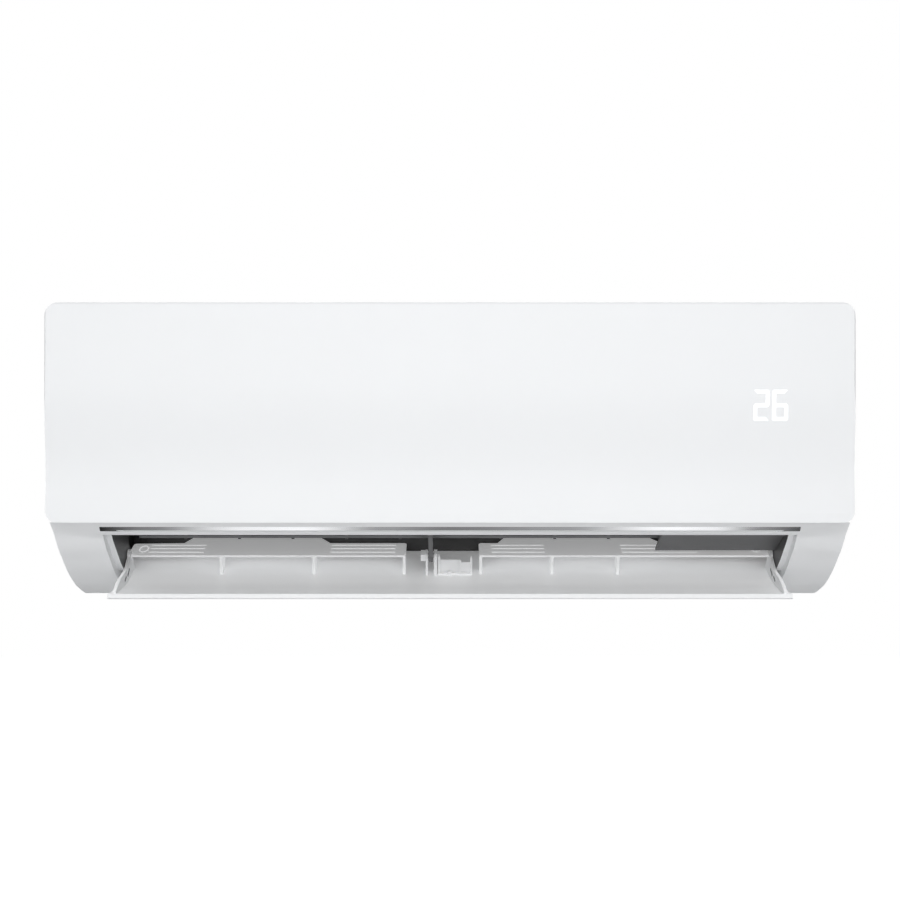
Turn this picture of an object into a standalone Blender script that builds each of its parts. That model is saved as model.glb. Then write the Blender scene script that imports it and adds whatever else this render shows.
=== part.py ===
"""Indoor unit of a wall-mounted split air conditioner.

X runs to the right, Y towards the wall and Z up. The origin is on the wall, at mid-height.
Sizes are in millimetres. A section is drawn as (d, z): d is the depth behind the front plane.
"""
import math

import bmesh
import bpy
from mathutils import Matrix, Vector

MM = 0.001

# Overall size
WIDTH = 698.0
HEIGHT = 255.0
DEPTH = 190.0

# Shells and clearances
WALL = 2.5
SEAT = 0.3
RUN = 1.0
PANEL_OVERHANG = 3.0
BACK_RIM = 10.0
BACK_RECESS = 8.0
BACK_WALL = 4.0

# Front panel
PANEL_DEPTH = 16.0
PANEL_RISE = 64.7
PANEL_TOP_RADIUS = 12.5
PANEL_BOTTOM_RADIUS = 11.5
PANEL_DIP = 6.4
PANEL_DIP_HEIGHT = 102.3
PANEL_DIP_START = 187.5
PANEL_LIP_DEPTH = 2.5
PANEL_EDGE = 2.0
HINGE_SETBACK = 8.0
HINGE_PIN_RADIUS = 2.0
HINGE_EAR_INSET = 14.0
HINGE_EAR_WIDTH = 4.0

# Front casing: section points are (depth, rise above the bottom)
FRAME_DEPTH = 20.0
NECK_TOP = (8.5, 65.7)
CREASE = (24.6, 55.7)
LIP = (29.0, 54.9)
CHEEK_POINTS = ((39.6, 43.4), (55.0, 34.5), (70.6, 25.3), (86.6, 17.7), (107.0, 9.9),
                (123.9, 5.7), (145.0, 1.3), (156.0, 0.0))
CASING_REAR_STEP = 2.0
CASING_CORNER = 11.0
OUTLET_MARGIN = 42.4
JAMB_LEDGE = 5.1
JAMB_REBATE = 9.0
JAMB_BACK = 18.0
DUCT_RISE = 67.5
GRILLE_COLUMNS = 6
GRILLE_ROWS = 8
GRILLE_RIB = 5.0
GRILLE_START = 42.0
GRILLE_SLOT = 8.0
GRILLE_PITCH = 12.5
GRILLE_MARGIN = 16.0
WINDOW_COLUMNS = 4
WINDOW_ROWS = 2
WINDOW_BAR = 5.0
WINDOW_SILL = 91.0
WINDOW_HEAD = 21.0

# Chrome line on the neck
TRIM_WIDTH = 6.5
TRIM_THICKNESS = 1.5
TRIM_GROOVE = 1.2
TRIM_INSET = 7.6

# Fan room, in which the fan fills the depth that is left behind the coil
AIR_LEFT_MARGIN = 55.0
AIR_RIGHT_MARGIN = 158.0
COIL_STANDOFF = 17.5
COIL_THICKNESS = 26.0
COIL_GAP = 14.0
SCROLL_GAP = 6.0
SCROLL_WALL = 8.0
SCROLL_GROWTH = 3.5
FAN_FLOOR = 77.5
FAN_RING = 10.0
FAN_BLADES = 20
FAN_SEGMENTS = 4
FAN_DISC = 3.0
SHAFT_RADIUS = 4.0
BEARING_RADIUS = 12.0
END_WALL = 4.5
MOTOR_LENGTH = 56.0
MOTOR_GAP = 6.0
CRADLE_REACH = 6.0
CLAMP_WIDTH = 22.0

# Flap and its inner blades
PIVOT_BEHIND_TONGUE = 18.0
PIVOT_RISE = 36.2
FOOT_DEPTH = 12.0
FLAP_GAP = 4.0
FLAP_OPEN = 37.7
FLAP_TIP_THICKNESS = 4.5
FLAP_REAR_THICKNESS = 8.0
FLAP_END_GAP = 1.6
FLAP_PIN_RADIUS = 2.4
BOSS_RADIUS = 5.6
RIB_THICKNESS = 2.8
STAY_X = (-19.6, -15.7)
STAY_GAP = 0.8
BLADE_THICKNESS = 1.8
BLADE_ANGLE = 17.6 - FLAP_OPEN
BLADE_REACH = 34.6
BLADE_TOP_REACH = 53.0
BLADE_FRONT = 2.4
WEB_THICKNESS = 2.6

# Drain tray and upright vanes
TONGUE_BACK = 2 / 3
TONGUE_DROP = 6 / 7
RAIL_RISE = 73.0
RAIL_DEPTH = 10.0
VANE_PITCH = 49.3
VANE_LEFT_MARGIN = 48.0
VANE_RIGHT_MARGIN = 42.4
VANE_CLEAR = 25.0
VANE_CRANK = 18.0
VANE_THICKNESS = 1.6
VANE_RUN = 1.0
VANE_HEIGHT = 17.0
VANE_PIN_RADIUS = 2.0
LINK_THICKNESS = 2.2
LINK_WIDTH = 6.0
LINK_PIN_RADIUS = 1.4
LINK_MARGIN = 5.0
CRANK_MARGIN = 16.0

# Coil: where its three packs end, and the tubes
COIL_OVERHANG_LEFT = 21.0
COIL_OVERHANG_RIGHT = 24.0
COIL_FOOT = 89.5
COIL_ELBOW = (147.5, 157.5)
COIL_CROWN = (84.0, 23.5)
COIL_REAR_START = (65.0, 32.5)
COIL_REAR_END = (22.0, 18.0)
COIL_PLATE = 1.5
BEND_RADIUS = 9.0
BEND_TUBE = 3.5
LIQUID_TUBE = 3.2
LIQUID_NUT = 7.0
GAS_TUBE = 4.75
GAS_NUT = 9.0
NUT_LENGTH = 12.7

# Filters
FILTER_DEPTH = 24.0
FILTER_THICKNESS = 2.5
FILTER_GAP = 6.0
FILTER_BAR = 4.0
FILTER_NET = 0.7
FILTER_MARGIN = 36.0

# Mounting plate
PLATE_HALF = 225.0
PLATE_THICKNESS = 1.2
PLATE_FOOT = 22.0
PLATE_WINDOW = 30.0
HOOK_X = (-180.0, 180.0)
HOOK_WIDTH = 30.0
HOOK_DROP = 38.0
HOOK_RISE = 9.0
HOOK_ENTRY = 14.0

# Electrics, measured in from the right end and up from the bottom
BOX_WIDTH = 75.2
BOX_DEPTHS = (62.0, 120.0)
BOX_FOOT = 79.0
BOX_HEAD = 33.0
BOX_WALL = 2.0
LID_THICKNESS = 1.8
BOARD_THICKNESS = 1.6
SERVICE_INSET = (108.0, 12.0)
SERVICE_RISE = (77.0, 139.0)
BUTTON_INSET = 28.0
BUTTON_RISE = 166.0
BUTTON_STEM = 2.0
DISPLAY_INSET = (94.0, 46.0)
DISPLAY_RISE = (147.0, 185.0)
DISPLAY_DEPTH = 9.0

# Derived stations
TOP = HEIGHT / 2
BOTTOM = -HEIGHT / 2
HALF = WIDTH / 2 - PANEL_OVERHANG
PANEL_HALF = WIDTH / 2
PANEL_BOTTOM = BOTTOM + PANEL_RISE
INSIDE = HALF - WALL
OUTLET_HALF = HALF - OUTLET_MARGIN
JAMB_HALF = OUTLET_HALF - JAMB_LEDGE
AIR_LEFT = -HALF + AIR_LEFT_MARGIN
AIR_RIGHT = HALF - AIR_RIGHT_MARGIN
BACK = DEPTH - BACK_RECESS
CASING_REAR = DEPTH - CASING_REAR_STEP
HINGE = (HINGE_SETBACK, TOP - HINGE_SETBACK)
EAR_X = HALF - HINGE_EAR_INSET
FRAME_BACK = FRAME_DEPTH + WALL
DUCT_TOP = BOTTOM + DUCT_RISE
COIL_FRONT = FRAME_BACK + COIL_STANDOFF + COIL_THICKNESS / 2
COIL_BACK = COIL_FRONT + COIL_THICKNESS / 2
FAN_RADIUS = (BACK - BACK_WALL - SCROLL_WALL - SCROLL_GAP - COIL_GAP - COIL_BACK) / 2
FAN_INNER_RADIUS = FAN_RADIUS - FAN_RING
FAN = (COIL_BACK + COIL_GAP + FAN_RADIUS, BOTTOM + FAN_FLOOR + FAN_RADIUS)
MOTOR_RADIUS = FAN_RADIUS - 6.0
MOTOR_X = (AIR_RIGHT + END_WALL + MOTOR_GAP, AIR_RIGHT + END_WALL + MOTOR_GAP + MOTOR_LENGTH)
TONGUE = (FAN[0] - TONGUE_BACK * FAN_RADIUS, FAN[1] - TONGUE_DROP * FAN_RADIUS)
PIVOT = (TONGUE[0] + PIVOT_BEHIND_TONGUE, BOTTOM + PIVOT_RISE)
FLAP_SWEEP = BACK - FOOT_DEPTH - FLAP_GAP - PIVOT[0]
RAIL = BOTTOM + RAIL_RISE
RAIL_BACK = TONGUE[0] - 5.0
VANE_PIVOT_DEPTH = RAIL_BACK - RAIL_DEPTH / 2
CRANK_DEPTH = VANE_PIVOT_DEPTH + VANE_CRANK
CRANK_X = AIR_RIGHT + CRANK_MARGIN
VANE_TOP = RAIL - VANE_RUN
VANE_BOTTOM = VANE_TOP - VANE_HEIGHT
LINK_TOP = VANE_BOTTOM - 0.5
PIN_FOOT = LINK_TOP - LINK_THICKNESS - 1.0
WINDOW_RIGHT = AIR_RIGHT + FILTER_MARGIN
FILTER_WIDTH = (WINDOW_RIGHT - AIR_LEFT - FILTER_GAP) / 2
FILTER_SPANS = ((AIR_LEFT, AIR_LEFT + FILTER_WIDTH), (WINDOW_RIGHT - FILTER_WIDTH, WINDOW_RIGHT))
SILL = BOTTOM + WINDOW_SILL
HEAD = TOP - WINDOW_HEAD
HOOK_Z = TOP - HOOK_DROP
SERVICE_X = (HALF - SERVICE_INSET[0], HALF - SERVICE_INSET[1])
SERVICE_Z = (BOTTOM + SERVICE_RISE[0], BOTTOM + SERVICE_RISE[1])
BUTTON_AT = (HALF - BUTTON_INSET, BOTTOM + BUTTON_RISE)
DISPLAY_X = (HALF - DISPLAY_INSET[0], HALF - DISPLAY_INSET[1])
DISPLAY_Z = (BOTTOM + DISPLAY_RISE[0], BOTTOM + DISPLAY_RISE[1])
RIB_X = (JAMB_HALF - 0.6 - RIB_THICKNESS, JAMB_HALF - 0.6)
COIL_SLABS = (
    ("coil_front_lower", (COIL_FRONT, BOTTOM + COIL_FOOT), (COIL_FRONT, BOTTOM + COIL_ELBOW[0]), 2, 0),
    ("coil_front_upper", (COIL_FRONT, BOTTOM + COIL_ELBOW[1]), (BACK - COIL_CROWN[0], TOP - COIL_CROWN[1]),
     3, None),
    ("coil_rear", (BACK - COIL_REAR_START[0], TOP - COIL_REAR_START[1]),
     (BACK - COIL_REAR_END[0], FAN[1] + FAN_RADIUS + COIL_REAR_END[1]), 2, 1))

COLOURS = {
    "white_plastic": ((0.90, 0.91, 0.92), 0.38, 0.0),
    "soft_white_plastic": ((0.80, 0.81, 0.82), 0.5, 0.0),
    "grey_plastic": ((0.16, 0.16, 0.165), 0.55, 0.0),
    "dark_plastic": ((0.035, 0.036, 0.038), 0.6, 0.0),
    "chrome": ((0.82, 0.83, 0.84), 0.12, 1.0),
    "steel": ((0.62, 0.63, 0.64), 0.4, 1.0),
    "aluminium": ((0.72, 0.74, 0.76), 0.45, 1.0),
    "copper": ((0.72, 0.38, 0.22), 0.3, 1.0),
    "brass": ((0.75, 0.6, 0.28), 0.3, 1.0),
    "rubber": ((0.02, 0.02, 0.02), 0.8, 0.0),
    "board": ((0.03, 0.16, 0.06), 0.5, 0.0),
}


def clear_scene():
    """Remove every object, and the data that only they used."""
    for thing in list(bpy.data.objects):
        bpy.data.objects.remove(thing, do_unlink=True)
    for group in list(bpy.data.collections):
        bpy.data.collections.remove(group)


clear_scene()
PARTS = bpy.data.collections.new("air_conditioner")
CUTTERS = bpy.data.collections.new("cutters")
bpy.context.scene.collection.children.link(PARTS)
bpy.context.scene.collection.children.link(CUTTERS)


def finish(thing, kind):
    """Give a piece its own material, in the colours of its kind."""
    colour, roughness, metallic = COLOURS[kind]
    material = bpy.data.materials.new(thing.name + "_" + kind)
    material.use_nodes = True
    shader = material.node_tree.nodes["Principled BSDF"]
    shader.inputs["Base Color"].default_value = (*colour, 1.0)
    shader.inputs["Roughness"].default_value = roughness
    shader.inputs["Metallic"].default_value = metallic
    thing.data.materials.clear()
    thing.data.materials.append(material)


def rounded(corners, steps=4):
    """Outline through corners (u, v) or (u, v, radius), with an arc at each corner that has a radius."""
    outline = []
    for index, corner in enumerate(corners):
        here = Vector(corner[:2])
        if len(corner) == 2 or corner[2] <= 0:
            outline.append((here.x, here.y))
            continue
        before = (Vector(corners[index - 1][:2]) - here)
        after = (Vector(corners[(index + 1) % len(corners)][:2]) - here)
        half_turn = before.angle(after) / 2
        reach = corner[2] / math.tan(half_turn)
        start = here + before.normalized() * reach
        end = here + after.normalized() * reach
        bisector = (before.normalized() + after.normalized()).normalized()
        centre = here + bisector * (corner[2] / math.sin(half_turn))
        first = start - centre
        turn = first.angle_signed(end - centre)
        for step in range(steps + 1):
            angle = -turn * step / steps
            arm = Matrix.Rotation(angle, 2) @ first
            outline.append((centre.x + arm.x, centre.y + arm.y))
    return outline


def arc(centre, radius, start, end, steps):
    """Points on a circle from one angle to another, in degrees."""
    points = []
    for step in range(steps + 1):
        angle = math.radians(start + (end - start) * step / steps)
        points.append((centre[0] + radius * math.cos(angle), centre[1] + radius * math.sin(angle)))
    return points


def rectangle(left, low, right, high, radius=0.0):
    """Corners of a rectangle, ready for rounded()."""
    return [(left, low, radius), (right, low, radius), (right, high, radius), (left, high, radius)]


def offset_path(points, distance):
    """An open path moved sideways, to the left of its direction."""
    moved = []
    for index, point in enumerate(points):
        before = Vector(points[max(index - 1, 0)])
        after = Vector(points[min(index + 1, len(points) - 1)])
        along = (after - before).normalized()
        moved.append((point[0] - along.y * distance, point[1] + along.x * distance))
    return moved


def section_frame(low, high):
    """Drawing plane of a section (d, z), pushed out from X = low to X = high."""
    turn = Matrix(((0, 0, 1, 0), (1, 0, 0, 0), (0, 1, 0, 0), (0, 0, 0, 1)))
    return Matrix.Translation(((low + high) / 2 * MM, -DEPTH * MM, 0)) @ turn


def front_frame(low, high):
    """Drawing plane of a front view (x, z), pushed out from depth low to depth high."""
    turn = Matrix(((1, 0, 0, 0), (0, 0, -1, 0), (0, 1, 0, 0), (0, 0, 0, 1)))
    return Matrix.Translation((0, ((low + high) / 2 - DEPTH) * MM, 0)) @ turn


def plan_frame(low, high):
    """Drawing plane of a view from above (x, d), pushed out from Z = low to Z = high."""
    return Matrix.Translation((0, -DEPTH * MM, (low + high) / 2 * MM))


FRAMES = {"section": section_frame, "front": front_frame, "plan": plan_frame}


def mesh_from_curve(name, curve, place):
    """A curve made into a welded mesh in world coordinates."""
    holder = bpy.data.objects.new(name + "_curve", curve)
    PARTS.objects.link(holder)
    bpy.context.view_layer.update()
    evaluated = holder.evaluated_get(bpy.context.evaluated_depsgraph_get())
    mesh = bpy.data.meshes.new_from_object(evaluated)
    mesh.name = name
    bpy.data.objects.remove(holder)
    shape = bmesh.new()
    shape.from_mesh(mesh)
    bmesh.ops.remove_doubles(shape, verts=shape.verts, dist=1e-6)
    bmesh.ops.transform(shape, matrix=place, verts=shape.verts)
    bmesh.ops.recalc_face_normals(shape, faces=shape.faces)
    shape.to_mesh(mesh)
    shape.free()
    return mesh


def add_object(name, mesh, group=None):
    """An object for a mesh, in the parts or the cutters."""
    thing = bpy.data.objects.new(name, mesh)
    (group or PARTS).objects.link(thing)
    return thing


def plate(name, view, outline, low, high, holes=()):
    """A flat outline with holes, drawn in a view and pushed out from low to high."""
    curve = bpy.data.curves.new(name, "CURVE")
    curve.dimensions = "2D"
    curve.fill_mode = "BOTH"
    curve.extrude = (high - low) / 2 * MM
    for ring in (outline, *holes):
        spline = curve.splines.new("POLY")
        spline.points.add(len(ring) - 1)
        for knot, (u, v) in zip(spline.points, ring):
            knot.co = (u * MM, v * MM, 0, 1)
        spline.use_cyclic_u = True
    mesh = mesh_from_curve(name, curve, FRAMES[view](low, high))
    return add_object(name, mesh)


def box(name, x_range, d_range, z_range):
    """A block between two X, two depths and two heights."""
    low = Vector((x_range[0], d_range[0] - DEPTH, z_range[0])) * MM
    high = Vector((x_range[1], d_range[1] - DEPTH, z_range[1])) * MM
    shape = bmesh.new()
    size = high - low
    place = Matrix.Translation((low + high) / 2) @ Matrix.Diagonal((*size, 1.0))
    bmesh.ops.create_cube(shape, size=1.0, matrix=place)
    mesh = bpy.data.meshes.new(name)
    shape.to_mesh(mesh)
    shape.free()
    return add_object(name, mesh)


AXES = {"x": Matrix.Rotation(math.pi / 2, 4, "Y"), "d": Matrix.Rotation(-math.pi / 2, 4, "X"),
        "z": Matrix.Identity(4)}


def rod(name, axis, centre, low, high, radius, sides=20, tip_radius=None):
    """A round bar along an axis; centre is (d, z), (x, z) or (x, d) for the axis x, d or z."""
    middle = (low + high) / 2
    spot = {"x": (middle, centre[0] - DEPTH, centre[1]), "d": (centre[0], middle - DEPTH, centre[1]),
            "z": (centre[0], centre[1] - DEPTH, middle)}[axis]
    shape = bmesh.new()
    place = Matrix.Translation(Vector(spot) * MM) @ AXES[axis]
    far = radius if tip_radius is None else tip_radius
    bmesh.ops.create_cone(shape, cap_ends=True, segments=sides, radius1=radius * MM, radius2=far * MM,
                          depth=(high - low) * MM, matrix=place)
    mesh = bpy.data.meshes.new(name)
    shape.to_mesh(mesh)
    shape.free()
    thing = add_object(name, mesh)
    smooth(thing)
    return thing


def turned(name, centre, profile, sides=28):
    """A turned piece about an X axis through centre (d, z); profile is (radius, x), outer side first."""
    shape = bmesh.new()
    knots = [shape.verts.new((radius * MM, 0, -x * MM)) for radius, x in profile]
    for first, second in zip(knots, knots[1:]):
        shape.edges.new((first, second))
    mesh = bpy.data.meshes.new(name)
    shape.to_mesh(mesh)
    shape.free()
    thing = add_object(name, mesh)
    screw = thing.modifiers.new("turn", "SCREW")
    screw.steps = sides
    screw.render_steps = sides
    screw.use_merge_vertices = True
    screw.merge_threshold = 1e-6
    screw.use_normal_calculate = True
    turn = Matrix.Rotation(-math.pi / 2, 4, "Y")
    thing.matrix_world = Matrix.Translation(Vector((0, centre[0] - DEPTH, centre[1])) * MM) @ turn
    return thing


def tube(name, points, radius, rings=2):
    """A round pipe through points (x, d, z)."""
    curve = bpy.data.curves.new(name, "CURVE")
    curve.dimensions = "3D"
    curve.bevel_depth = radius * MM
    curve.bevel_resolution = rings
    curve.use_fill_caps = True
    spline = curve.splines.new("POLY")
    spline.points.add(len(points) - 1)
    for knot, (x, d, z) in zip(spline.points, points):
        knot.co = (x * MM, (d - DEPTH) * MM, z * MM, 1)
    return add_object(name, mesh_from_curve(name, curve, Matrix.Identity(4)))


def smooth(thing):
    """Shade a round piece smooth, with sharp edges kept."""
    thing.data.shade_smooth()
    thing.data.set_sharp_from_angle(angle=math.radians(35))


def put_away(thing):
    """Keep a helper in the cutters, out of the model."""
    for group in list(thing.users_collection):
        group.objects.unlink(thing)
    CUTTERS.objects.link(thing)
    thing.display_type = "WIRE"
    thing.hide_render = True


def merged(name, pieces):
    """Several separate shapes as one object, for one cut or one joint."""
    shape = bmesh.new()
    for piece in pieces:
        piece.data.transform(piece.matrix_world)
        shape.from_mesh(piece.data)
        bpy.data.objects.remove(piece)
    mesh = bpy.data.meshes.new(name)
    shape.to_mesh(mesh)
    shape.free()
    return add_object(name, mesh)


def combine(thing, tool, operation):
    """Cut, join or intersect a piece with a tool, which moves to the cutters."""
    step = thing.modifiers.new(tool.name, "BOOLEAN")
    step.operation = operation
    step.solver = "EXACT"
    step.object = tool
    put_away(tool)


def cut(thing, tool):
    combine(thing, tool, "DIFFERENCE")


def join(thing, tool):
    combine(thing, tool, "UNION")


def keep_common(thing, tool):
    combine(thing, tool, "INTERSECT")


def tidy_flats(thing):
    """Merge the triangles of each flat face that cutting has left behind."""
    step = thing.modifiers.new("tidy_flats", "DECIMATE")
    step.decimate_type = "DISSOLVE"
    step.angle_limit = math.radians(0.3)


def axis_empty(name, spot, pieces):
    """An empty on a joint's axis, which carries its pieces and their cutters."""
    empty = bpy.data.objects.new(name, None)
    empty.location = Vector((spot[0], spot[1] - DEPTH, spot[2])) * MM
    PARTS.objects.link(empty)
    bpy.context.view_layer.update()
    carried = set(pieces)
    for piece in pieces:
        carried.update(step.object for step in piece.modifiers if step.type == "BOOLEAN")
    for piece in sorted(carried, key=lambda item: item.name):
        piece.parent = empty
        piece.matrix_parent_inverse = empty.matrix_world.inverted()
    return empty


def spline_path(points, parts=3):
    """A smooth curve through points, with the given number of parts in each span."""
    path = []
    last = len(points) - 1
    for index in range(last):
        knots = [Vector(points[min(max(index + shift, 0), last)]) for shift in (-1, 0, 1, 2)]
        for part in range(parts):
            t = part / parts
            along = (knots[2] - knots[0]) / 2
            ahead = (knots[3] - knots[1]) / 2
            here = (knots[1] * (2 * t**3 - 3 * t**2 + 1) + along * (t**3 - 2 * t**2 + t)
                    + knots[2] * (3 * t**2 - 2 * t**3) + ahead * (t**3 - t**2))
            path.append((here.x, here.y))
    path.append(tuple(points[-1]))
    return path


def between(path, low, high):
    """The part of a path from one depth to another, cut exactly at both."""
    inside = [point for point in path if low < point[0] < high]
    return [(low, height_at(path, low)), *inside, (high, height_at(path, high))]


def height_at(path, depth):
    """Height of a path at a depth, where depth grows along the path."""
    for (d0, z0), (d1, z1) in zip(path, path[1:]):
        if depth <= d1:
            return z0 + (z1 - z0) * (depth - d0) / (d1 - d0)
    return path[-1][1]


def lifted(points):
    """Points given as (depth, rise above the bottom) turned into (depth, height)."""
    return [(depth, BOTTOM + rise) for depth, rise in points]


CHEEK = spline_path(lifted((CREASE, *CHEEK_POINTS)), 2)
NECK = lifted((NECK_TOP,))[0]
LIP_EDGE = lifted((LIP,))[0]
CREASE_EDGE = CHEEK[0]
TRAY_UNDER = [(FRAME_BACK + 9.5, BOTTOM + 57.0), (FRAME_BACK + 22.5, BOTTOM + 60.5),
              (RAIL_BACK - RAIL_DEPTH - 9.0, RAIL - 4.0), (RAIL_BACK - RAIL_DEPTH, RAIL), (RAIL_BACK, RAIL),
              (TONGUE[0] - 2.0, TONGUE[1] - 5.0)]


def panel_front(height):
    """Depth of the panel's front at a height: flat, then a shallow hollow, then the lip."""
    rise = height - BOTTOM
    if rise >= PANEL_DIP_START:
        return 0.0
    if rise >= PANEL_DIP_HEIGHT:
        share = (PANEL_DIP_START - rise) / (PANEL_DIP_START - PANEL_DIP_HEIGHT)
        return PANEL_DIP * (1 - math.cos(math.pi * share)) / 2
    share = (rise - PANEL_RISE) / (PANEL_DIP_HEIGHT - PANEL_RISE)
    return PANEL_LIP_DEPTH + (PANEL_DIP - PANEL_LIP_DEPTH) * (1 - math.cos(math.pi * share)) / 2


def panel_curve(top, low, shift, steps=14):
    """Points down the panel's front between two heights, pushed back by shift."""
    start = BOTTOM + PANEL_DIP_START
    heights = [start + (low - start) * step / steps for step in range(steps + 1)]
    return [(panel_front(height) + shift, height) for height in heights if height < top]


def build_front_panel():
    """The shallow tray that covers the front, with hinge pins at its upper ends."""
    reach = FRAME_DEPTH + 2.0
    back = [(reach, TOP - 14.0), (PANEL_DEPTH, TOP - 13.0), (PANEL_DEPTH, TOP)]
    heel = [(7.6, PANEL_BOTTOM), (7.6, PANEL_BOTTOM + 4.0), (PANEL_DEPTH, PANEL_BOTTOM + 10.0),
            (reach, PANEL_BOTTOM + 16.0)]
    curve = panel_curve(TOP, PANEL_BOTTOM, 0.0)
    curve[-1] = (*curve[-1], 1.4)
    panel = plate("front_panel", "section", rounded([*heel, *back, (0.0, TOP, PANEL_EDGE), *curve]),
                  -PANEL_HALF, PANEL_HALF)
    radii = (PANEL_BOTTOM_RADIUS, PANEL_BOTTOM_RADIUS, PANEL_TOP_RADIUS, PANEL_TOP_RADIUS)
    face = [(x, z, radius) for (x, z, _), radius
            in zip(rectangle(-PANEL_HALF, PANEL_BOTTOM, PANEL_HALF, TOP), radii)]
    keep_common(panel, plate("panel_face", "front", rounded(face, 6), -5.0, reach + 5.0))
    ends = [(-PANEL_HALF, 0.0, PANEL_EDGE), (PANEL_HALF, 0.0, PANEL_EDGE),
            (PANEL_HALF, reach + 5.0), (-PANEL_HALF, reach + 5.0)]
    keep_common(panel, plate("panel_ends", "plan", rounded(ends, 4), PANEL_BOTTOM - 5.0, TOP + 5.0))
    hollow_curve = panel_curve(TOP - WALL, PANEL_BOTTOM + WALL, WALL)
    hollow = plate("panel_hollow", "section",
                   [(reach + 9.0, PANEL_BOTTOM + WALL), (reach + 9.0, TOP - WALL), (WALL, TOP - WALL),
                    *hollow_curve], -PANEL_HALF, PANEL_HALF)
    inner = [(x, z, radius - WALL) for (x, z, _), radius
             in zip(rectangle(-PANEL_HALF + WALL, PANEL_BOTTOM + WALL, PANEL_HALF - WALL, TOP - WALL),
                    radii)]
    keep_common(hollow, plate("panel_hollow_face", "front", rounded(inner, 6), -5.0, reach + 15.0))
    cut(panel, hollow)
    webs = []
    pins = []
    slots = []
    for side in (-1, 1):
        near = EAR_X + HINGE_EAR_WIDTH / 2 + RUN
        low, high = sorted((side * near, side * (near + WALL)))
        web = [(1.5, TOP - 18.0), (1.5, TOP - 1.2), (13.0, TOP - 1.2), (13.0, TOP - 10.0, 2.0),
               (6.0, TOP - 18.0, 2.0)]
        webs.append(plate("web", "section", rounded(web), low, high))
        low, high = sorted((side * (near + WALL / 2), side * (EAR_X - HINGE_EAR_WIDTH / 2 - RUN)))
        pins.append(rod("pin", "x", HINGE, low, high, HINGE_PIN_RADIUS, 14))
        low, high = sorted((side * (near - 0.2), side * (EAR_X - HINGE_EAR_WIDTH / 2 - RUN)))
        slots.append(box("slot", (low, high), (5.5, PANEL_DEPTH + 4.0), (TOP - 2 * WALL, TOP + 2.0)))
    cut(panel, merged("panel_ear_slots", slots))
    join(panel, merged("panel_webs", webs))
    join(panel, merged("panel_pins", pins))
    tidy_flats(panel)
    finish(panel, "white_plastic")
    return panel


def casing_section():
    """Outer section of the casing: top, back, cheek curve, neck and front frame."""
    return rounded([(PANEL_DEPTH + 0.8, TOP), (CASING_REAR, TOP, 3.0), (CASING_REAR, BOTTOM),
                    *reversed(CHEEK), NECK, (FRAME_DEPTH, NECK[1]), (FRAME_DEPTH, TOP - 6.5),
                    (PANEL_DEPTH + 2.6, TOP - WALL)])


def grid_boxes(x_range, z_range, columns, rows, bar, d_range):
    """Blocks for a grid of openings with bars between them."""
    width = (x_range[1] - x_range[0] - bar * (columns - 1)) / columns
    tall = (z_range[1] - z_range[0] - bar * (rows - 1)) / rows
    boxes = []
    for column in range(columns):
        for row in range(rows):
            left = x_range[0] + column * (width + bar)
            low = z_range[0] + row * (tall + bar)
            boxes.append(box("cell", (left, left + width), d_range, (low, low + tall)))
    return boxes


def filter_guides():
    """Channels and foot ledges behind the front frame that hold the two filters."""
    back = FILTER_DEPTH + FILTER_THICKNESS + 0.5
    pieces = []
    for left, right in FILTER_SPANS:
        for edge, side in ((left, 1), (right, -1)):
            hook = [(edge - side * 2.6, FRAME_BACK - 0.8), (edge - side * 0.5, FRAME_BACK - 0.8),
                    (edge - side * 0.5, back), (edge + side * 3.0, back),
                    (edge + side * 3.0, back + 2.0), (edge - side * 2.6, back + 2.0)]
            pieces.append(plate("guide", "plan", hook, SILL - 4.0, HEAD + 8.0))
        pieces.append(box("foot", (left + 8.0, right - 8.0), (FRAME_BACK - 0.8, back + 1.0),
                          (SILL - 6.0, SILL - 4.0)))
    return pieces


def jamb_outlines():
    """The outer cheek wall of the outlet, and the ledge inside it that carries the pivot."""
    back = DEPTH - JAMB_BACK
    outer = [*CHEEK, (back, BOTTOM), (back, DUCT_TOP), (LIP[0] + 2.0, DUCT_TOP)]
    ledge = between(offset_path(CHEEK, JAMB_REBATE), LIP[0] + 4.0, PIVOT[0] - 14.0)
    ledge += arc(PIVOT, 13.0, -120.0, 60.0, 9)
    ledge += [(PIVOT[0] + 6.5, DUCT_TOP), (LIP[0] + 4.0, DUCT_TOP)]
    return outer, ledge


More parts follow.
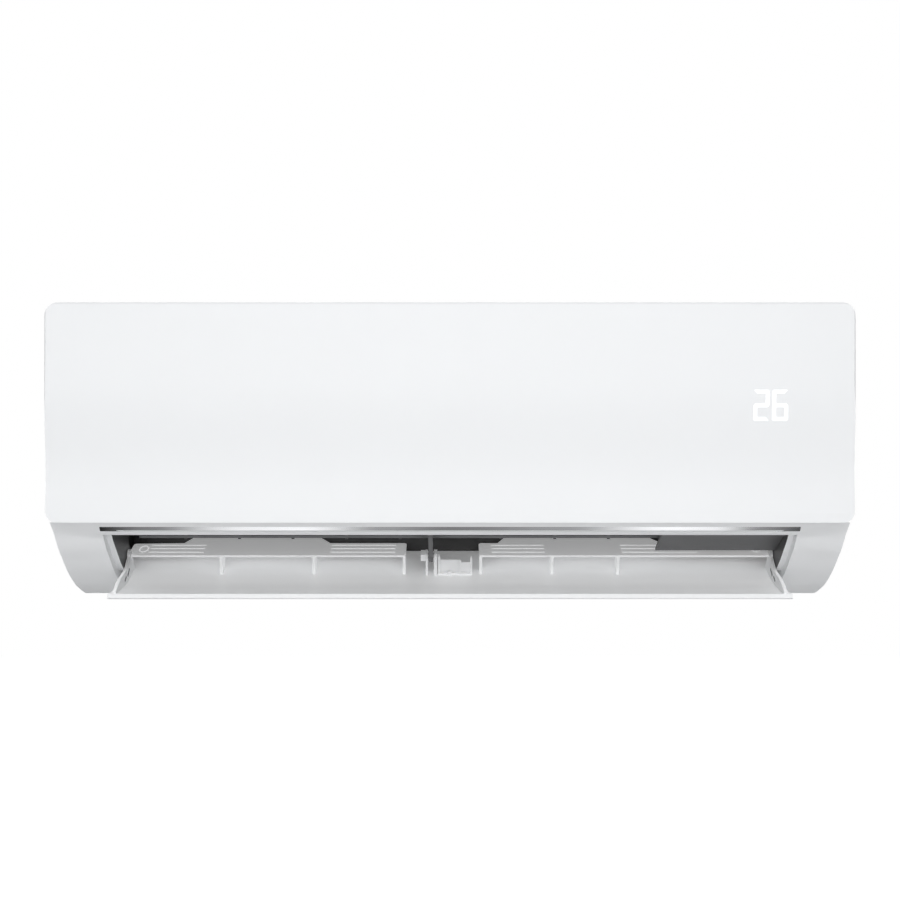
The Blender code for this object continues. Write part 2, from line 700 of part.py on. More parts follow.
def build_front_casing():
    """The white shell with its top grille, filter windows, neck, cheeks and outlet frame."""
    casing = plate("front_casing", "section", casing_section(), -HALF, HALF)
    shape = [(-HALF, BOTTOM - 1.0), (HALF, BOTTOM - 1.0), (HALF, TOP, CASING_CORNER),
             (-HALF, TOP, CASING_CORNER)]
    keep_common(casing, plate("casing_face", "front", rounded(shape, 5), 0.0, DEPTH + 10.0))
    room = [(FRAME_BACK, TOP - WALL), (FRAME_BACK, BOTTOM + 62.0),
            *between(offset_path(CHEEK, WALL), LIP[0], CHEEK[-1][0] - 1.0), (DEPTH + 9.0, BOTTOM + WALL),
            (DEPTH + 9.0, TOP - WALL)]
    cavity = plate("casing_cavity", "section", room, -INSIDE, INSIDE)
    corner = CASING_CORNER - WALL
    inner = [(-INSIDE, BOTTOM), (INSIDE, BOTTOM), (INSIDE, TOP - WALL, corner),
             (-INSIDE, TOP - WALL, corner)]
    keep_common(cavity, plate("cavity_face", "front", rounded(inner, 5), 5.0, DEPTH + 20.0))
    cut(casing, cavity)
    outlet = [CREASE_EDGE, LIP_EDGE, (LIP[0] + 2.0, LIP_EDGE[1] + 3.0), (LIP[0] + 2.0, DUCT_TOP),
              (DEPTH + 9.0, DUCT_TOP), (DEPTH + 9.0, BOTTOM - 9.0), (CREASE_EDGE[0], BOTTOM - 9.0)]
    cut(casing, plate("outlet_cut", "section", outlet, -OUTLET_HALF, OUTLET_HALF))
    bar = [NECK, CREASE_EDGE, LIP_EDGE, (LIP[0] + 1.6, LIP_EDGE[1] + 2.2), (24.0, NECK[1] - 2.5),
           (21.5, NECK[1])]
    join(casing, plate("neck_bar", "section", bar, -OUTLET_HALF - 1.0, OUTLET_HALF + 1.0))
    outer, ledge = jamb_outlines()
    walls = []
    ledges = []
    ears = []
    holes = []
    for side in (-1, 1):
        low, high = sorted((side * OUTLET_HALF, side * (OUTLET_HALF + WALL)))
        walls.append(plate("jamb", "section", outer, low, high))
        low, high = sorted((side * JAMB_HALF, side * (OUTLET_HALF + 0.5)))
        ledges.append(plate("ledge", "section", ledge, low, high))
        low, high = sorted((side * (JAMB_HALF - 3.0), side * (OUTLET_HALF + WALL + 3.0)))
        holes.append(rod("pivot_hole", "x", PIVOT, low, high, FLAP_PIN_RADIUS + SEAT, 16))
        ear = [*arc(HINGE, 4.3, 90.0, 270.0, 8), (FRAME_DEPTH + 1.0, HINGE[1] - 4.3),
               (FRAME_DEPTH + 1.0, HINGE[1] + 1.0)]
        reach = HINGE_EAR_WIDTH / 2
        ears.append(plate("ear", "section", ear, side * EAR_X - reach, side * EAR_X + reach))
        holes.append(rod("ear_hole", "x", HINGE, side * EAR_X - 5.0, side * EAR_X + 5.0,
                         HINGE_PIN_RADIUS + SEAT, 14))
    join(casing, merged("jamb_walls", walls))
    join(casing, merged("jamb_ledges", ledges))
    join(casing, merged("hinge_ears", ears))
    join(casing, merged("guides", filter_guides()))
    depth = (FRAME_DEPTH - 3.0, FRAME_BACK + 0.4)
    openings = []
    for left, right in FILTER_SPANS:
        openings += grid_boxes((left + 5.0, right - 5.0), (SILL, HEAD), WINDOW_COLUMNS, WINDOW_ROWS,
                               WINDOW_BAR, depth)
        openings.append(box("filter_slot", (left - 1.0, right + 1.0),
                            (FILTER_DEPTH - 0.8, FILTER_DEPTH + FILTER_THICKNESS + 0.8),
                            (TOP - WALL - 5.0, TOP + 3.0)))
    left, right = SERVICE_X
    openings.append(box("service_window", (left + 8.0, right - 8.0), depth,
                        (SERVICE_Z[0] + 6.0, SERVICE_Z[1] - 6.0)))
    openings.append(rod("button_hole", "d", BUTTON_AT, *depth, BUTTON_STEM + SEAT, 14))
    pitch = (WINDOW_RIGHT - AIR_LEFT + 2 * GRILLE_MARGIN) / GRILLE_COLUMNS
    for column in range(GRILLE_COLUMNS):
        start = AIR_LEFT - GRILLE_MARGIN + column * pitch
        for row in range(GRILLE_ROWS):
            near = GRILLE_START + row * GRILLE_PITCH
            openings.append(box("slot", (start, start + pitch - GRILLE_RIB),
                                (near, near + GRILLE_SLOT), (TOP - WALL - 1.0, TOP + 3.0)))
    cut(casing, merged("casing_openings", openings))
    cut(casing, merged("casing_holes", holes))
    groove = trim_outline(TRIM_WIDTH + 2 * SEAT, TRIM_GROOVE, 3.0)
    cut(casing, plate("trim_groove", "section", groove, -OUTLET_HALF - 1.2, OUTLET_HALF + 1.2))
    tidy_flats(casing)
    finish(casing, "white_plastic")
    return casing


def trim_outline(width, sunk, proud):
    """Section of a strip along the neck, sunk below the neck face and proud of it."""
    along = (Vector(CREASE_EDGE) - Vector(NECK)).normalized()
    out = Vector((along.y, -along.x))
    middle = Vector(NECK) + along * (TRIM_INSET + TRIM_WIDTH / 2)
    half = along * width / 2
    return [tuple(middle + half - out * sunk), tuple(middle + half + out * proud),
            tuple(middle - half + out * proud), tuple(middle - half - out * sunk)]


def build_outlet_trim():
    """The bright line above the outlet, seated in its groove."""
    sunk = TRIM_GROOVE - SEAT
    corners = trim_outline(TRIM_WIDTH, sunk, TRIM_THICKNESS - sunk)
    shape = [(d, z, 0.5 if index in (1, 2) else 0.0) for index, (d, z) in enumerate(corners)]
    trim = plate("outlet_trim", "section", rounded(shape, 3), -OUTLET_HALF - 0.8, OUTLET_HALF + 0.8)
    finish(trim, "chrome")
    return trim


def scroll_path():
    """Rear guide of the fan, a spiral that opens towards the outlet."""
    path = []
    for step in range(13):
        share = step / 12
        angle = math.radians(42.0 - 82.0 * share)
        radius = FAN_RADIUS + SCROLL_GAP + 4 * SCROLL_GROWTH * share**2
        path.append((FAN[0] + radius * math.cos(angle), FAN[1] + radius * math.sin(angle)))
    return path


def end_wall_outline():
    """Wall at each end of the fan room: under the coil, around the fan, clear of the flap."""
    reach = FLAP_SWEEP + FLAP_GAP
    under = coil_line(-COIL_THICKNESS / 2 - SEAT)
    ledge = under[0][1] - SEAT
    front = FRAME_BACK + 11.5
    return [(front, BOTTOM + 65.5), (front, ledge), (under[0][0], ledge), *under[1:],
            (BACK - 3.0, under[-1][1]), (BACK - 3.0, PIVOT[1] + 3.0),
            *arc(PIVOT, reach, 3.0, 47.0, 6), (PIVOT[0] + 12.0, BOTTOM + 65.5)]


def build_rear_chassis():
    """Back wall with its rim, fan scroll, bottom lip, end walls and motor cradle."""
    half = INSIDE - SEAT
    low, high = BOTTOM + WALL + SEAT, TOP - WALL - SEAT
    corner = CASING_CORNER - WALL - SEAT
    outline = rounded([(-half, low), (half, low), (half, high, corner), (-half, high, corner)], 5)
    inner = rounded(rectangle(-half + BACK_RIM, low + BACK_RIM, half - BACK_RIM, high - BACK_RIM, 5.0))
    chassis = plate("rear_chassis", "front", outline, BACK - BACK_WALL, BACK)
    join(chassis, plate("back_rim", "front", outline, BACK - BACK_WALL - 1.0, DEPTH, [inner]))
    reach = FLAP_SWEEP + FLAP_GAP
    drop = math.degrees(math.asin((BOTTOM - PIVOT[1]) / reach))
    foot = [*arc(PIVOT, reach, 0.0, drop, 8), (DEPTH, BOTTOM), (DEPTH, BOTTOM + BACK_RIM),
            (BACK - 0.6, BOTTOM + BACK_RIM), (BACK - 0.6, PIVOT[1] + 6.0),
            (PIVOT[0] + reach, PIVOT[1] + 6.0)]
    join(chassis, plate("bottom_lip", "section", foot, -OUTLET_HALF + SEAT, OUTLET_HALF - SEAT))
    guide = [*scroll_path(), (PIVOT[0] + reach, PIVOT[1] + 3.0), (BACK - 1.2, PIVOT[1] + 3.0),
             (BACK - 1.2, FAN[1] + FAN_RADIUS + 8.0), (FAN[0] + FAN_RADIUS, FAN[1] + FAN_RADIUS - 4.0)]
    join(chassis, plate("scroll", "section", guide, AIR_LEFT - 1.0, AIR_RIGHT + 1.0))
    walls = [plate("wall", "section", end_wall_outline(), low, high)
             for low, high in ((AIR_LEFT - END_WALL, AIR_LEFT), (AIR_RIGHT, AIR_RIGHT + END_WALL))]
    join(chassis, merged("end_walls", walls))
    cradle = MOTOR_RADIUS - CRADLE_REACH
    join(chassis, box("motor_cradle", (MOTOR_X[0] + CRADLE_REACH, MOTOR_X[1] - CRADLE_REACH),
                      (FAN[0] + cradle / 2, BACK - 1.0), (FAN[1] - cradle, FAN[1] + cradle)))
    cut(chassis, merged("chassis_bores", [
        rod("motor_seat", "x", FAN, MOTOR_X[0], MOTOR_X[1], MOTOR_RADIUS + SEAT, 32),
        rod("bearing_hole", "x", FAN, AIR_LEFT - 9.0, AIR_LEFT + 9.0, BEARING_RADIUS + SEAT, 24),
        rod("shaft_hole", "x", FAN, AIR_RIGHT - 3.0, AIR_RIGHT + END_WALL + 3.0, 2 * SHAFT_RADIUS, 20)]))
    hooks = [box("hook_window", (x - HOOK_WIDTH / 2 - 2.0, x + HOOK_WIDTH / 2 + 2.0),
                 (BACK - BACK_WALL - 3.0, BACK + 3.0), (HOOK_Z - HOOK_ENTRY, HOOK_Z + SEAT))
             for x in HOOK_X]
    cut(chassis, merged("hook_windows", hooks))
    tidy_flats(chassis)
    finish(chassis, "soft_white_plastic")
    return chassis


def build_mounting_plate():
    """Steel plate on the wall, with screw slots, windows and two upturned hooks."""
    low, high = BOTTOM + PLATE_FOOT, HOOK_Z + 4.0
    outline = rounded(rectangle(-PLATE_HALF, low, PLATE_HALF, high, 8.0))
    windows = [rounded(rectangle(x - PLATE_WINDOW, low + 59.5, x + PLATE_WINDOW, high - 47.5, 8.0))
               for x in (60.0 - PLATE_HALF, 140.0 - PLATE_HALF, PLATE_HALF - 140.0, PLATE_HALF - 60.0)]
    slots = [rounded(rectangle(x - 9.0, z - 2.6, x + 9.0, z + 2.6, 2.5), 2)
             for x in (15.0 - PLATE_HALF, 155.0 - PLATE_HALF, PLATE_HALF - 155.0, PLATE_HALF - 15.0)
             for z in (low + 20.5, high - 23.5)]
    face = DEPTH - PLATE_THICKNESS
    base = plate("mounting_plate", "front", outline, face, DEPTH)
    cut(base, merged("plate_openings", [plate("opening", "front", ring, face - 2.0, DEPTH + 2.0)
                                        for ring in windows + slots]))
    catch = BACK - BACK_WALL - SEAT - PLATE_THICKNESS
    low = HOOK_Z - PLATE_THICKNESS
    tip = HOOK_Z + HOOK_RISE
    hook = [(face + PLATE_THICKNESS / 2, low), (catch, low), (catch, tip),
            (catch + PLATE_THICKNESS, tip), (catch + PLATE_THICKNESS, HOOK_Z),
            (face + PLATE_THICKNESS / 2, HOOK_Z)]
    hooks = [plate("hook", "section", hook, x - HOOK_WIDTH / 2, x + HOOK_WIDTH / 2) for x in HOOK_X]
    join(base, merged("plate_hooks", hooks))
    tidy_flats(base)
    finish(base, "steel")
    return base


def circle(centre, radius, sides=20):
    """Outline of a circle."""
    return arc(centre, radius, 0.0, 360.0 * (sides - 1) / sides, sides - 1)


def build_drain_tray():
    """Gutter under the front coil; its underside is the roof of the outlet and carries the vanes."""
    lip = BOTTOM + COIL_FOOT - 4.0
    near = TRAY_UNDER[0][0]
    tongue = [TONGUE, (TONGUE[0] - 1.5, TONGUE[1] + 3.0), (TONGUE[0] - 7.0, TONGUE[1] + 0.5),
              (TONGUE[0] - 24.0, RAIL + 2.5), (near + 13.0, RAIL - 5.5), (near + 3.0, RAIL - 8.0),
              (near + 3.0, lip), (near, lip)]
    tray = plate("drain_tray", "section", [*TRAY_UNDER, *tongue], AIR_LEFT + SEAT, AIR_RIGHT - SEAT)
    holes = [rod("vane_hole", "z", (x, VANE_PIVOT_DEPTH), RAIL - 2.0, RAIL + 5.3,
                 VANE_PIN_RADIUS + SEAT, 10) for x in vane_places()]
    cut(tray, merged("vane_holes", holes))
    tidy_flats(tray)
    finish(tray, "grey_plastic")
    return tray


def build_duct_closure():
    """Sloping wall that closes the outlet beside the fan."""
    slope = lifted(((FRAME_BACK + 9.5, 58.0), (PIVOT[0] - 50.0, 52.5), (PIVOT[0] - 14.0, 41.0)))
    closure = plate("duct_closure", "section", [*slope, *reversed(offset_path(slope, WALL))],
                    AIR_RIGHT + SEAT, JAMB_HALF - SEAT)
    finish(closure, "grey_plastic")
    return closure


def coil_line(distance):
    """The folded line of the three coil packs, moved towards the outside by a distance."""
    runs = [offset_path((start, end), distance) for _, start, end, _, _ in COIL_SLABS]
    line = [runs[0][0]]
    for first, second in zip(runs, runs[1:]):
        a, b = Vector(first[0]), Vector(first[1])
        c, d = Vector(second[0]), Vector(second[1])
        share = (c - a).cross(d - c) / (b - a).cross(d - c)
        if (b - a).length * (share - 1) > COIL_THICKNESS / 4:
            line += [tuple(b), tuple(c)]
        else:
            line.append(tuple(a + (b - a) * share))
    line.append(runs[-1][1])
    return line


def build_coil():
    """Three fin packs, and an end plate with return bends at each end."""
    left = AIR_LEFT - COIL_OVERHANG_LEFT
    right = AIR_RIGHT + COIL_OVERHANG_RIGHT
    reach = COIL_THICKNESS / 2
    pieces = []
    for name, start, end, _, _ in COIL_SLABS:
        line = (start, end)
        outline = [*offset_path(line, reach), *reversed(offset_path(line, -reach))]
        pack = plate(name, "section", outline, left, right)
        finish(pack, "aluminium")
        pieces.append(pack)
    for name, side, face in (("coil_end_left", -1, left - SEAT), ("coil_end_right", 1, right + SEAT)):
        outline = [*coil_line(reach - 1.0), *reversed(coil_line(1.0 - reach))]
        low, high = sorted((face, face + side * COIL_PLATE))
        end_plate = plate(name, "section", outline, low, high)
        join(end_plate, merged(name + "_bends", return_bends(face + side * 0.7, side)))
        tidy_flats(end_plate)
        finish(end_plate, "copper")
        pieces.append(end_plate)
    return pieces


def coil_port(slab, index):
    """Middle of one pair of tubes, as (depth, height)."""
    _, start, end, count, _ = COIL_SLABS[slab]
    first, last = Vector(start), Vector(end)
    return first + (last - first) * (index + 0.5) / count


def return_bends(face, side):
    """Half-round tube ends that stand out of an end plate, apart from where a pipe leaves it."""
    bends = []
    for slab, (_, start, end, count, piped) in enumerate(COIL_SLABS):
        along = (Vector(end) - Vector(start)).normalized()
        for index in range(count):
            if side > 0 and index == piped:
                continue
            middle = coil_port(slab, index)
            points = []
            for step in range(7):
                angle = math.pi * step / 6
                spot = middle + along * BEND_RADIUS * math.cos(angle)
                points.append((face + side * (1.0 + BEND_RADIUS * math.sin(angle)), *spot))
            first_spot = middle + along * BEND_RADIUS
            last_spot = middle - along * BEND_RADIUS
            route = [(face, *first_spot), *points, (face, *last_spot)]
            bends.append(tube("bend", route, BEND_TUBE, 0))
    return bends


def smooth_route(points, parts=4):
    """A smooth curve in space through points (x, d, z)."""
    flat = spline_path([(x, d) for x, d, _ in points], parts)
    tall = spline_path([(x, z) for x, _, z in points], parts)
    return [(x, d, z) for (x, d), (_, z) in zip(flat, tall)]


def build_pipes():
    """The two pipe connections at the right rear, each ending in its flare nut."""
    start = AIR_RIGHT + COIL_OVERHANG_RIGHT + COIL_PLATE + 2 * SEAT
    rear = BACK - BACK_WALL
    low = BOTTOM + RAIL_RISE
    middle = FAN[1]
    low_port = coil_port(0, 0)
    rear_port = coil_port(2, 1)
    routes = {
        "liquid": (LIQUID_TUBE, LIQUID_NUT,
                   ((start, *low_port), (start + 3.0, *low_port), (start + 7.0, *low_port),
                    (start + 14.0, COIL_FRONT + 5.0, low + 4.5), (start + 17.0, COIL_BACK + 14.0, low - 7.5),
                    (start + 22.0, PIVOT[0] + 18.0, low - 5.5), (start + 36.0, rear - 11.0, low + 1.5),
                    (start + 50.0, rear - 8.0, low + 2.5), (start + 58.0, rear - 8.0, low + 2.5),
                    (start + 66.0, rear - 8.0, low + 2.5))),
        "gas": (GAS_TUBE, GAS_NUT,
                ((start, *rear_port), (start + 5.0, *rear_port), (start + 12.0, *rear_port),
                 (start + 30.0, rear - 22.0, middle + 52.0), (start + 44.0, rear - 22.0, middle + 28.0),
                 (start + 48.0, rear - 22.0, middle + 2.0), (start + 54.0, rear - 18.0, middle - 15.0),
                 (start + 62.0, rear - 16.0, middle - 20.0), (start + 66.0, rear - 16.0, middle - 20.0),
                 (start + 70.0, rear - 16.0, middle - 20.0))),
    }
    pieces = []
    for name, (radius, nut_radius, route) in routes.items():
        pipe = tube(name + "_pipe", smooth_route(route, 3), radius, 1)
        smooth(pipe)
        finish(pipe, "copper")
        end = route[-1]
        nut = rod(name + "_nut", "x", (end[1], end[2]), end[0] + SEAT, end[0] + SEAT + NUT_LENGTH,
                  nut_radius, 6)
        finish(nut, "brass")
        pieces += [pipe, nut]
    return pieces


def fan_blade(angle):
    """Outline of one curved blade of the fan."""
    back = []
    front = []
    for step in range(3):
        share = step / 2
        radius = FAN_INNER_RADIUS + 0.6 + (FAN_RADIUS - FAN_INNER_RADIUS - 1.2) * share
        turn = angle + math.radians(16.0) * share * share
        half = 0.75 / radius
        back.append((FAN[0] + radius * math.cos(turn - half), FAN[1] + radius * math.sin(turn - half)))
        front.append((FAN[0] + radius * math.cos(turn + half), FAN[1] + radius * math.sin(turn + half)))
    return [*back, *reversed(front)]


def build_fan():
    """Cross-flow rotor with its blades between discs, the bearing stub and the motor shaft."""
    low, high = AIR_LEFT + 1.5, AIR_RIGHT - 1.5
    rim = circle(FAN, FAN_RADIUS, 32)
    opening = circle(FAN, FAN_INNER_RADIUS, 24)
    rotor = plate("fan_rotor", "section", rim, low, low + FAN_DISC)
    discs = []
    pitch = (high - low - FAN_DISC) / FAN_SEGMENTS
    for index in range(1, FAN_SEGMENTS):
        start = low + index * pitch
        discs.append(plate("disc", "section", rim, start, start + FAN_DISC, [opening]))
    discs.append(plate("disc", "section", rim, high - FAN_DISC, high))
    blades = [fan_blade(2 * math.pi * index / FAN_BLADES) for index in range(FAN_BLADES)]
    ring = plate("blades", "section", blades[0], low + 1.0, high - 1.0, blades[1:])
    hubs = [rod("hub", "x", FAN, low + 1.0, low + 14.0, 9.0, 16),
            rod("hub", "x", FAN, high - 14.0, high - 1.0, 9.0, 16)]
    join(rotor, merged("fan_discs", discs))
    join(rotor, merged("fan_blades", [ring]))
    join(rotor, merged("fan_hubs", hubs))
    bores = [rod("bore", "x", FAN, low - 2.0, low + 10.3, SHAFT_RADIUS + SEAT, 16),
             rod("bore", "x", FAN, high - 10.3, high + 2.0, SHAFT_RADIUS + SEAT, 16)]
    cut(rotor, merged("fan_bores", bores))
    tidy_flats(rotor)
    finish(rotor, "dark_plastic")
    stub = rod("fan_shaft", "x", FAN, AIR_LEFT - END_WALL - 4.0, low + 10.0, SHAFT_RADIUS, 16)
    finish(stub, "steel")
    shaft = rod("motor_shaft", "x", FAN, high - 10.0, MOTOR_X[0] + 9.0, SHAFT_RADIUS, 16)
    finish(shaft, "steel")
    axis_empty("fan_axis", ((low + high) / 2, *FAN), [rotor, stub, shaft])


def build_motor():
    """Fan motor, its clamp on the cradle, and the rubber bearing at the far end."""
    low, high = MOTOR_X
    profile = [(0.0, low), (15.0, low), (15.0, low + 4.0), (MOTOR_RADIUS - 3.0, low + 5.0),
               (MOTOR_RADIUS, low + 8.0), (MOTOR_RADIUS, high - 8.0),
               (MOTOR_RADIUS - 3.0, high - 5.0), (13.0, high - 4.0), (13.0, high), (0.0, high)]
    motor = turned("fan_motor", FAN, profile)
    cut(motor, rod("motor_bore", "x", FAN, low - 3.0, low + 9.3, SHAFT_RADIUS + SEAT, 16))
    finish(motor, "steel")
    reach = MOTOR_RADIUS + 1.5
    foot = MOTOR_RADIUS - CRADLE_REACH + 1.4
    swing = math.degrees(math.asin(foot / reach))
    end = FAN[0] + MOTOR_RADIUS + 6.0
    line = [(end, FAN[1] - foot), *arc(FAN, reach, -swing, swing - 360.0, 20), (end, FAN[1] + foot)]
    middle = (low + high) / 2
    clamp = plate("motor_clamp", "section",
                  [*offset_path(line, 1.0), *reversed(offset_path(line, -1.0))],
                  middle - CLAMP_WIDTH / 2, middle + CLAMP_WIDTH / 2)
    finish(clamp, "steel")
    bearing = plate("fan_bearing", "section", circle(FAN, BEARING_RADIUS, 24),
                    AIR_LEFT - END_WALL - 2.0, AIR_LEFT, [circle(FAN, SHAFT_RADIUS + SEAT, 16)])
    finish(bearing, "rubber")


def build_electrics():
    """Control box with board, lid and terminals, cover, display housing and button switch."""
    x0, x1 = INSIDE - SEAT - BOX_WIDTH, INSIDE - SEAT
    z0, z1 = BOTTOM + BOX_FOOT, TOP - BOX_HEAD
    d0, d1 = BOX_DEPTHS
    wall = BOX_WALL
    tub = box("control_box", (x0, x1), (d0, d1), (z0, z1))
    cut(tub, box("control_box_room", (x0 + wall, x1 - wall), (d0 - 5.0, d1 - wall), (z0 + wall, z1 - wall)))
    finish(tub, "grey_plastic")
    outline = rounded(rectangle(x0, z0, x1, z1, 4.0))
    vents = [rounded(rectangle(x, z1 - 60.0, x + 4.0, z1 - 20.0, 1.9), 2)
             for x in (x0 + 14.0 + 9.0 * index for index in range(5))]
    face = d0 - SEAT - LID_THICKNESS
    lid = plate("control_lid", "front", outline, face, d0 - SEAT, vents)
    finish(lid, "steel")
    seat = d1 - wall - SEAT
    board = box("control_board", (x0 + 4.0, x1 - 4.0), (seat - BOARD_THICKNESS, seat), (z0 + 6.0, z1 - 6.0))
    rise = seat - BOARD_THICKNESS - 0.6
    parts = [rod("capacitor", "d", (x0 + 20.0, z1 - 30.0), rise - 26.0, rise + 1.0, 9.0, 16),
             rod("capacitor", "d", (x0 + 44.0, z1 - 28.0), rise - 18.0, rise + 1.0, 6.0, 14),
             box("relay", (x0 + 12.0, x0 + 32.0), (rise - 16.0, rise + 1.0), (z0 + 20.0, z0 + 48.0)),
             box("transformer", (x0 + 38.0, x0 + 64.0), (rise - 24.0, rise + 1.0), (z0 + 34.0, z0 + 66.0))]
    join(board, merged("board_parts", parts))
    finish(board, "board")
    block_x = (x0 + 12.0, x0 + 58.0)
    front = face - SEAT
    block = box("terminal_block", block_x, (front - 16.0, front), (z0 + 10.0, z0 + 34.0))
    slots = [box("slot", (block_x[0] + 4.0 + 10.5 * index, block_x[0] + 10.5 + 10.5 * index),
                 (front - 20.0, front - 8.0), (z0 + 14.0, z0 + 30.0)) for index in range(4)]
    cut(block, merged("terminal_slots", slots))
    finish(block, "dark_plastic")
    cover = plate("service_cover", "front",
                  rounded(rectangle(SERVICE_X[0], SERVICE_Z[0], SERVICE_X[1], SERVICE_Z[1], 5.0)),
                  FRAME_DEPTH - SEAT - 2.5, FRAME_DEPTH - SEAT)
    finish(cover, "soft_white_plastic")
    housing = plate("display_housing", "front",
                    rounded(rectangle(DISPLAY_X[0], DISPLAY_Z[0], DISPLAY_X[1], DISPLAY_Z[1], 4.0)),
                    DISPLAY_DEPTH, FRAME_DEPTH - SEAT)
    finish(housing, "dark_plastic")
    x, z = BUTTON_AT
    near = FRAME_BACK + SEAT
    legs = [(x - 8.0, near), (x - 5.5, near), (x - 5.5, near + 3.4), (x + 5.5, near + 3.4),
            (x + 5.5, near), (x + 8.0, near), (x + 8.0, near + 11.0), (x - 8.0, near + 11.0)]
    switch = plate("button_switch", "plan", legs, z - 6.0, z + 6.0)
    finish(switch, "dark_plastic")
    button = rod("manual_button", "d", BUTTON_AT, FRAME_DEPTH - 6.5, FRAME_DEPTH - 1.8, 5.0, 20, 5.0)
    join(button, rod("button_stem", "d", BUTTON_AT, FRAME_DEPTH - 2.5, near + 1.6, BUTTON_STEM, 12))
    finish(button, "soft_white_plastic")
    axis_empty("button_axis", (x, FRAME_DEPTH, z), [button])


def build_filters():
    """Two pull-out filters: a frame with bars around a thin net."""
    back = FILTER_DEPTH + FILTER_THICKNESS
    middle = (FILTER_DEPTH + back) / 2
    low = SILL - 4.0 + SEAT
    for name, (left, right) in zip(("air_filter_left", "air_filter_right"), FILTER_SPANS):
        frame = plate(name, "front", rounded(rectangle(left, low, right, TOP - 1.0, 3.0)),
                      FILTER_DEPTH, back)
        cells = []
        for depths in ((FILTER_DEPTH - 2.0, middle - FILTER_NET / 2), (middle + FILTER_NET / 2, back + 2.0)):
            cells += grid_boxes((left + 6.0, right - 6.0), (low + 5.0, HEAD + 4.0), 4, 3, FILTER_BAR, depths)
        cut(frame, merged(name + "_cells", cells))
        tidy_flats(frame)
        finish(frame, "grey_plastic")
        axis_empty(name + "_axis", ((left + right) / 2, middle, low), [frame])


def vane_places():
    """X of each vane, spread at one pitch from both ends of the duct towards the middle stay."""
    left = [AIR_LEFT + VANE_LEFT_MARGIN]
    while left[-1] + VANE_PITCH < STAY_X[0] - VANE_CLEAR:
        left.append(left[-1] + VANE_PITCH)
    right = [AIR_RIGHT - VANE_RIGHT_MARGIN]
    while right[0] - VANE_PITCH > STAY_X[1] + VANE_CLEAR:
        right.insert(0, right[0] - VANE_PITCH)
    return left + right


def build_vane(index, x):
    """One upright vane: a plate on a vertical pin, with a crank pin for the link bar."""
    d = VANE_PIVOT_DEPTH
    outline = [(d - 12.0, VANE_TOP - 4.5), (d - 4.5, VANE_TOP), (d + 34.0, VANE_TOP, 3.0),
               (d + 34.0, VANE_BOTTOM, 5.0), (d - 12.0, VANE_BOTTOM, 4.0)]
    vane = plate(f"vane_{index}", "section", rounded(outline, 2),
                 x - VANE_THICKNESS / 2, x + VANE_THICKNESS / 2)
    join(vane, rod("vane_pin", "z", (x, d), VANE_BOTTOM + 3.0, RAIL + 5.0, VANE_PIN_RADIUS, 8))
    join(vane, rod("link_pin", "z", (x, CRANK_DEPTH), PIN_FOOT, VANE_BOTTOM + 3.0, LINK_PIN_RADIUS, 8))
    tidy_flats(vane)
    finish(vane, "dark_plastic")
    axis_empty(f"vane_axis_{index}", (x, d, VANE_TOP), [vane])


def build_vanes():
    """Eight vanes, the link bar that swings them together, and the motor with its crank."""
    places = vane_places()
    for index, x in enumerate(places, 1):
        build_vane(index, x)
    half = LINK_WIDTH / 2
    left, right = AIR_LEFT + LINK_MARGIN, CRANK_X + 4.5
    outline = rounded(rectangle(left, CRANK_DEPTH - half, right, CRANK_DEPTH + half, half - 0.1), 4)
    holes = [circle((x, CRANK_DEPTH), LINK_PIN_RADIUS + SEAT, 8) for x in (*places, CRANK_X)]
    link = plate("vane_link", "plan", outline, LINK_TOP - LINK_THICKNESS, LINK_TOP, holes)
    finish(link, "grey_plastic")
    axis_empty("vane_link_axis", (CRANK_X, CRANK_DEPTH, LINK_TOP), [link])
    spot = (CRANK_X, VANE_PIVOT_DEPTH)
    arm = [*arc(spot, 4.0, 180.0, 360.0, 8), *arc((CRANK_X, CRANK_DEPTH), 3.0, 0.0, 180.0, 6)]
    crank = plate("vane_crank", "plan", arm, VANE_BOTTOM, VANE_BOTTOM + 2.2)
    join(crank, rod("crank_shaft", "z", spot, VANE_BOTTOM + 1.0, VANE_BOTTOM + 8.0, VANE_PIN_RADIUS, 12))
    join(crank, rod("crank_pin", "z", (CRANK_X, CRANK_DEPTH), PIN_FOOT, VANE_BOTTOM + 1.0,
                    LINK_PIN_RADIUS, 10))
    finish(crank, "soft_white_plastic")
    axis_empty("vane_crank_axis", (*spot, VANE_BOTTOM), [crank])
    flange = AIR_RIGHT + END_WALL + SEAT
    can = [(flange, spot[1] - 7.0), *arc(spot, 10.0, -60.0, 60.0, 8), (flange, spot[1] + 7.0)]
    motor = plate("vane_motor", "plan", can, VANE_BOTTOM + 3.6, RAIL - SEAT)
    cut(motor, rod("vane_motor_bore", "z", spot, VANE_BOTTOM + 2.0, VANE_BOTTOM + 8.6,
                   VANE_PIN_RADIUS + SEAT, 12))
    finish(motor, "steel")


def build_flap_stay():
    """Middle support of the flap, which hangs from the outlet roof in front of the link bar."""
    roof = offset_path(TRAY_UNDER, -0.4)
    top = between(roof, PIVOT[0] - 52.0, PIVOT[0] - 24.0)
    lower = [(CRANK_DEPTH - 8.5, RAIL - 6.0), (CRANK_DEPTH - 8.5, PIN_FOOT - 1.0),
             (PIVOT[0] - 4.0, PIN_FOOT - 2.2), *arc(PIVOT, BOSS_RADIUS + 0.4, 60.0, -150.0, 10),
             (PIVOT[0] - 24.0, PIVOT[1] + 2.5), (PIVOT[0] - 48.0, PIVOT[1] + 17.8)]
    stay = plate("flap_stay", "section", [*top, *lower], *STAY_X,
                 [circle(PIVOT, FLAP_PIN_RADIUS + SEAT, 14)])
    finish(stay, "grey_plastic")


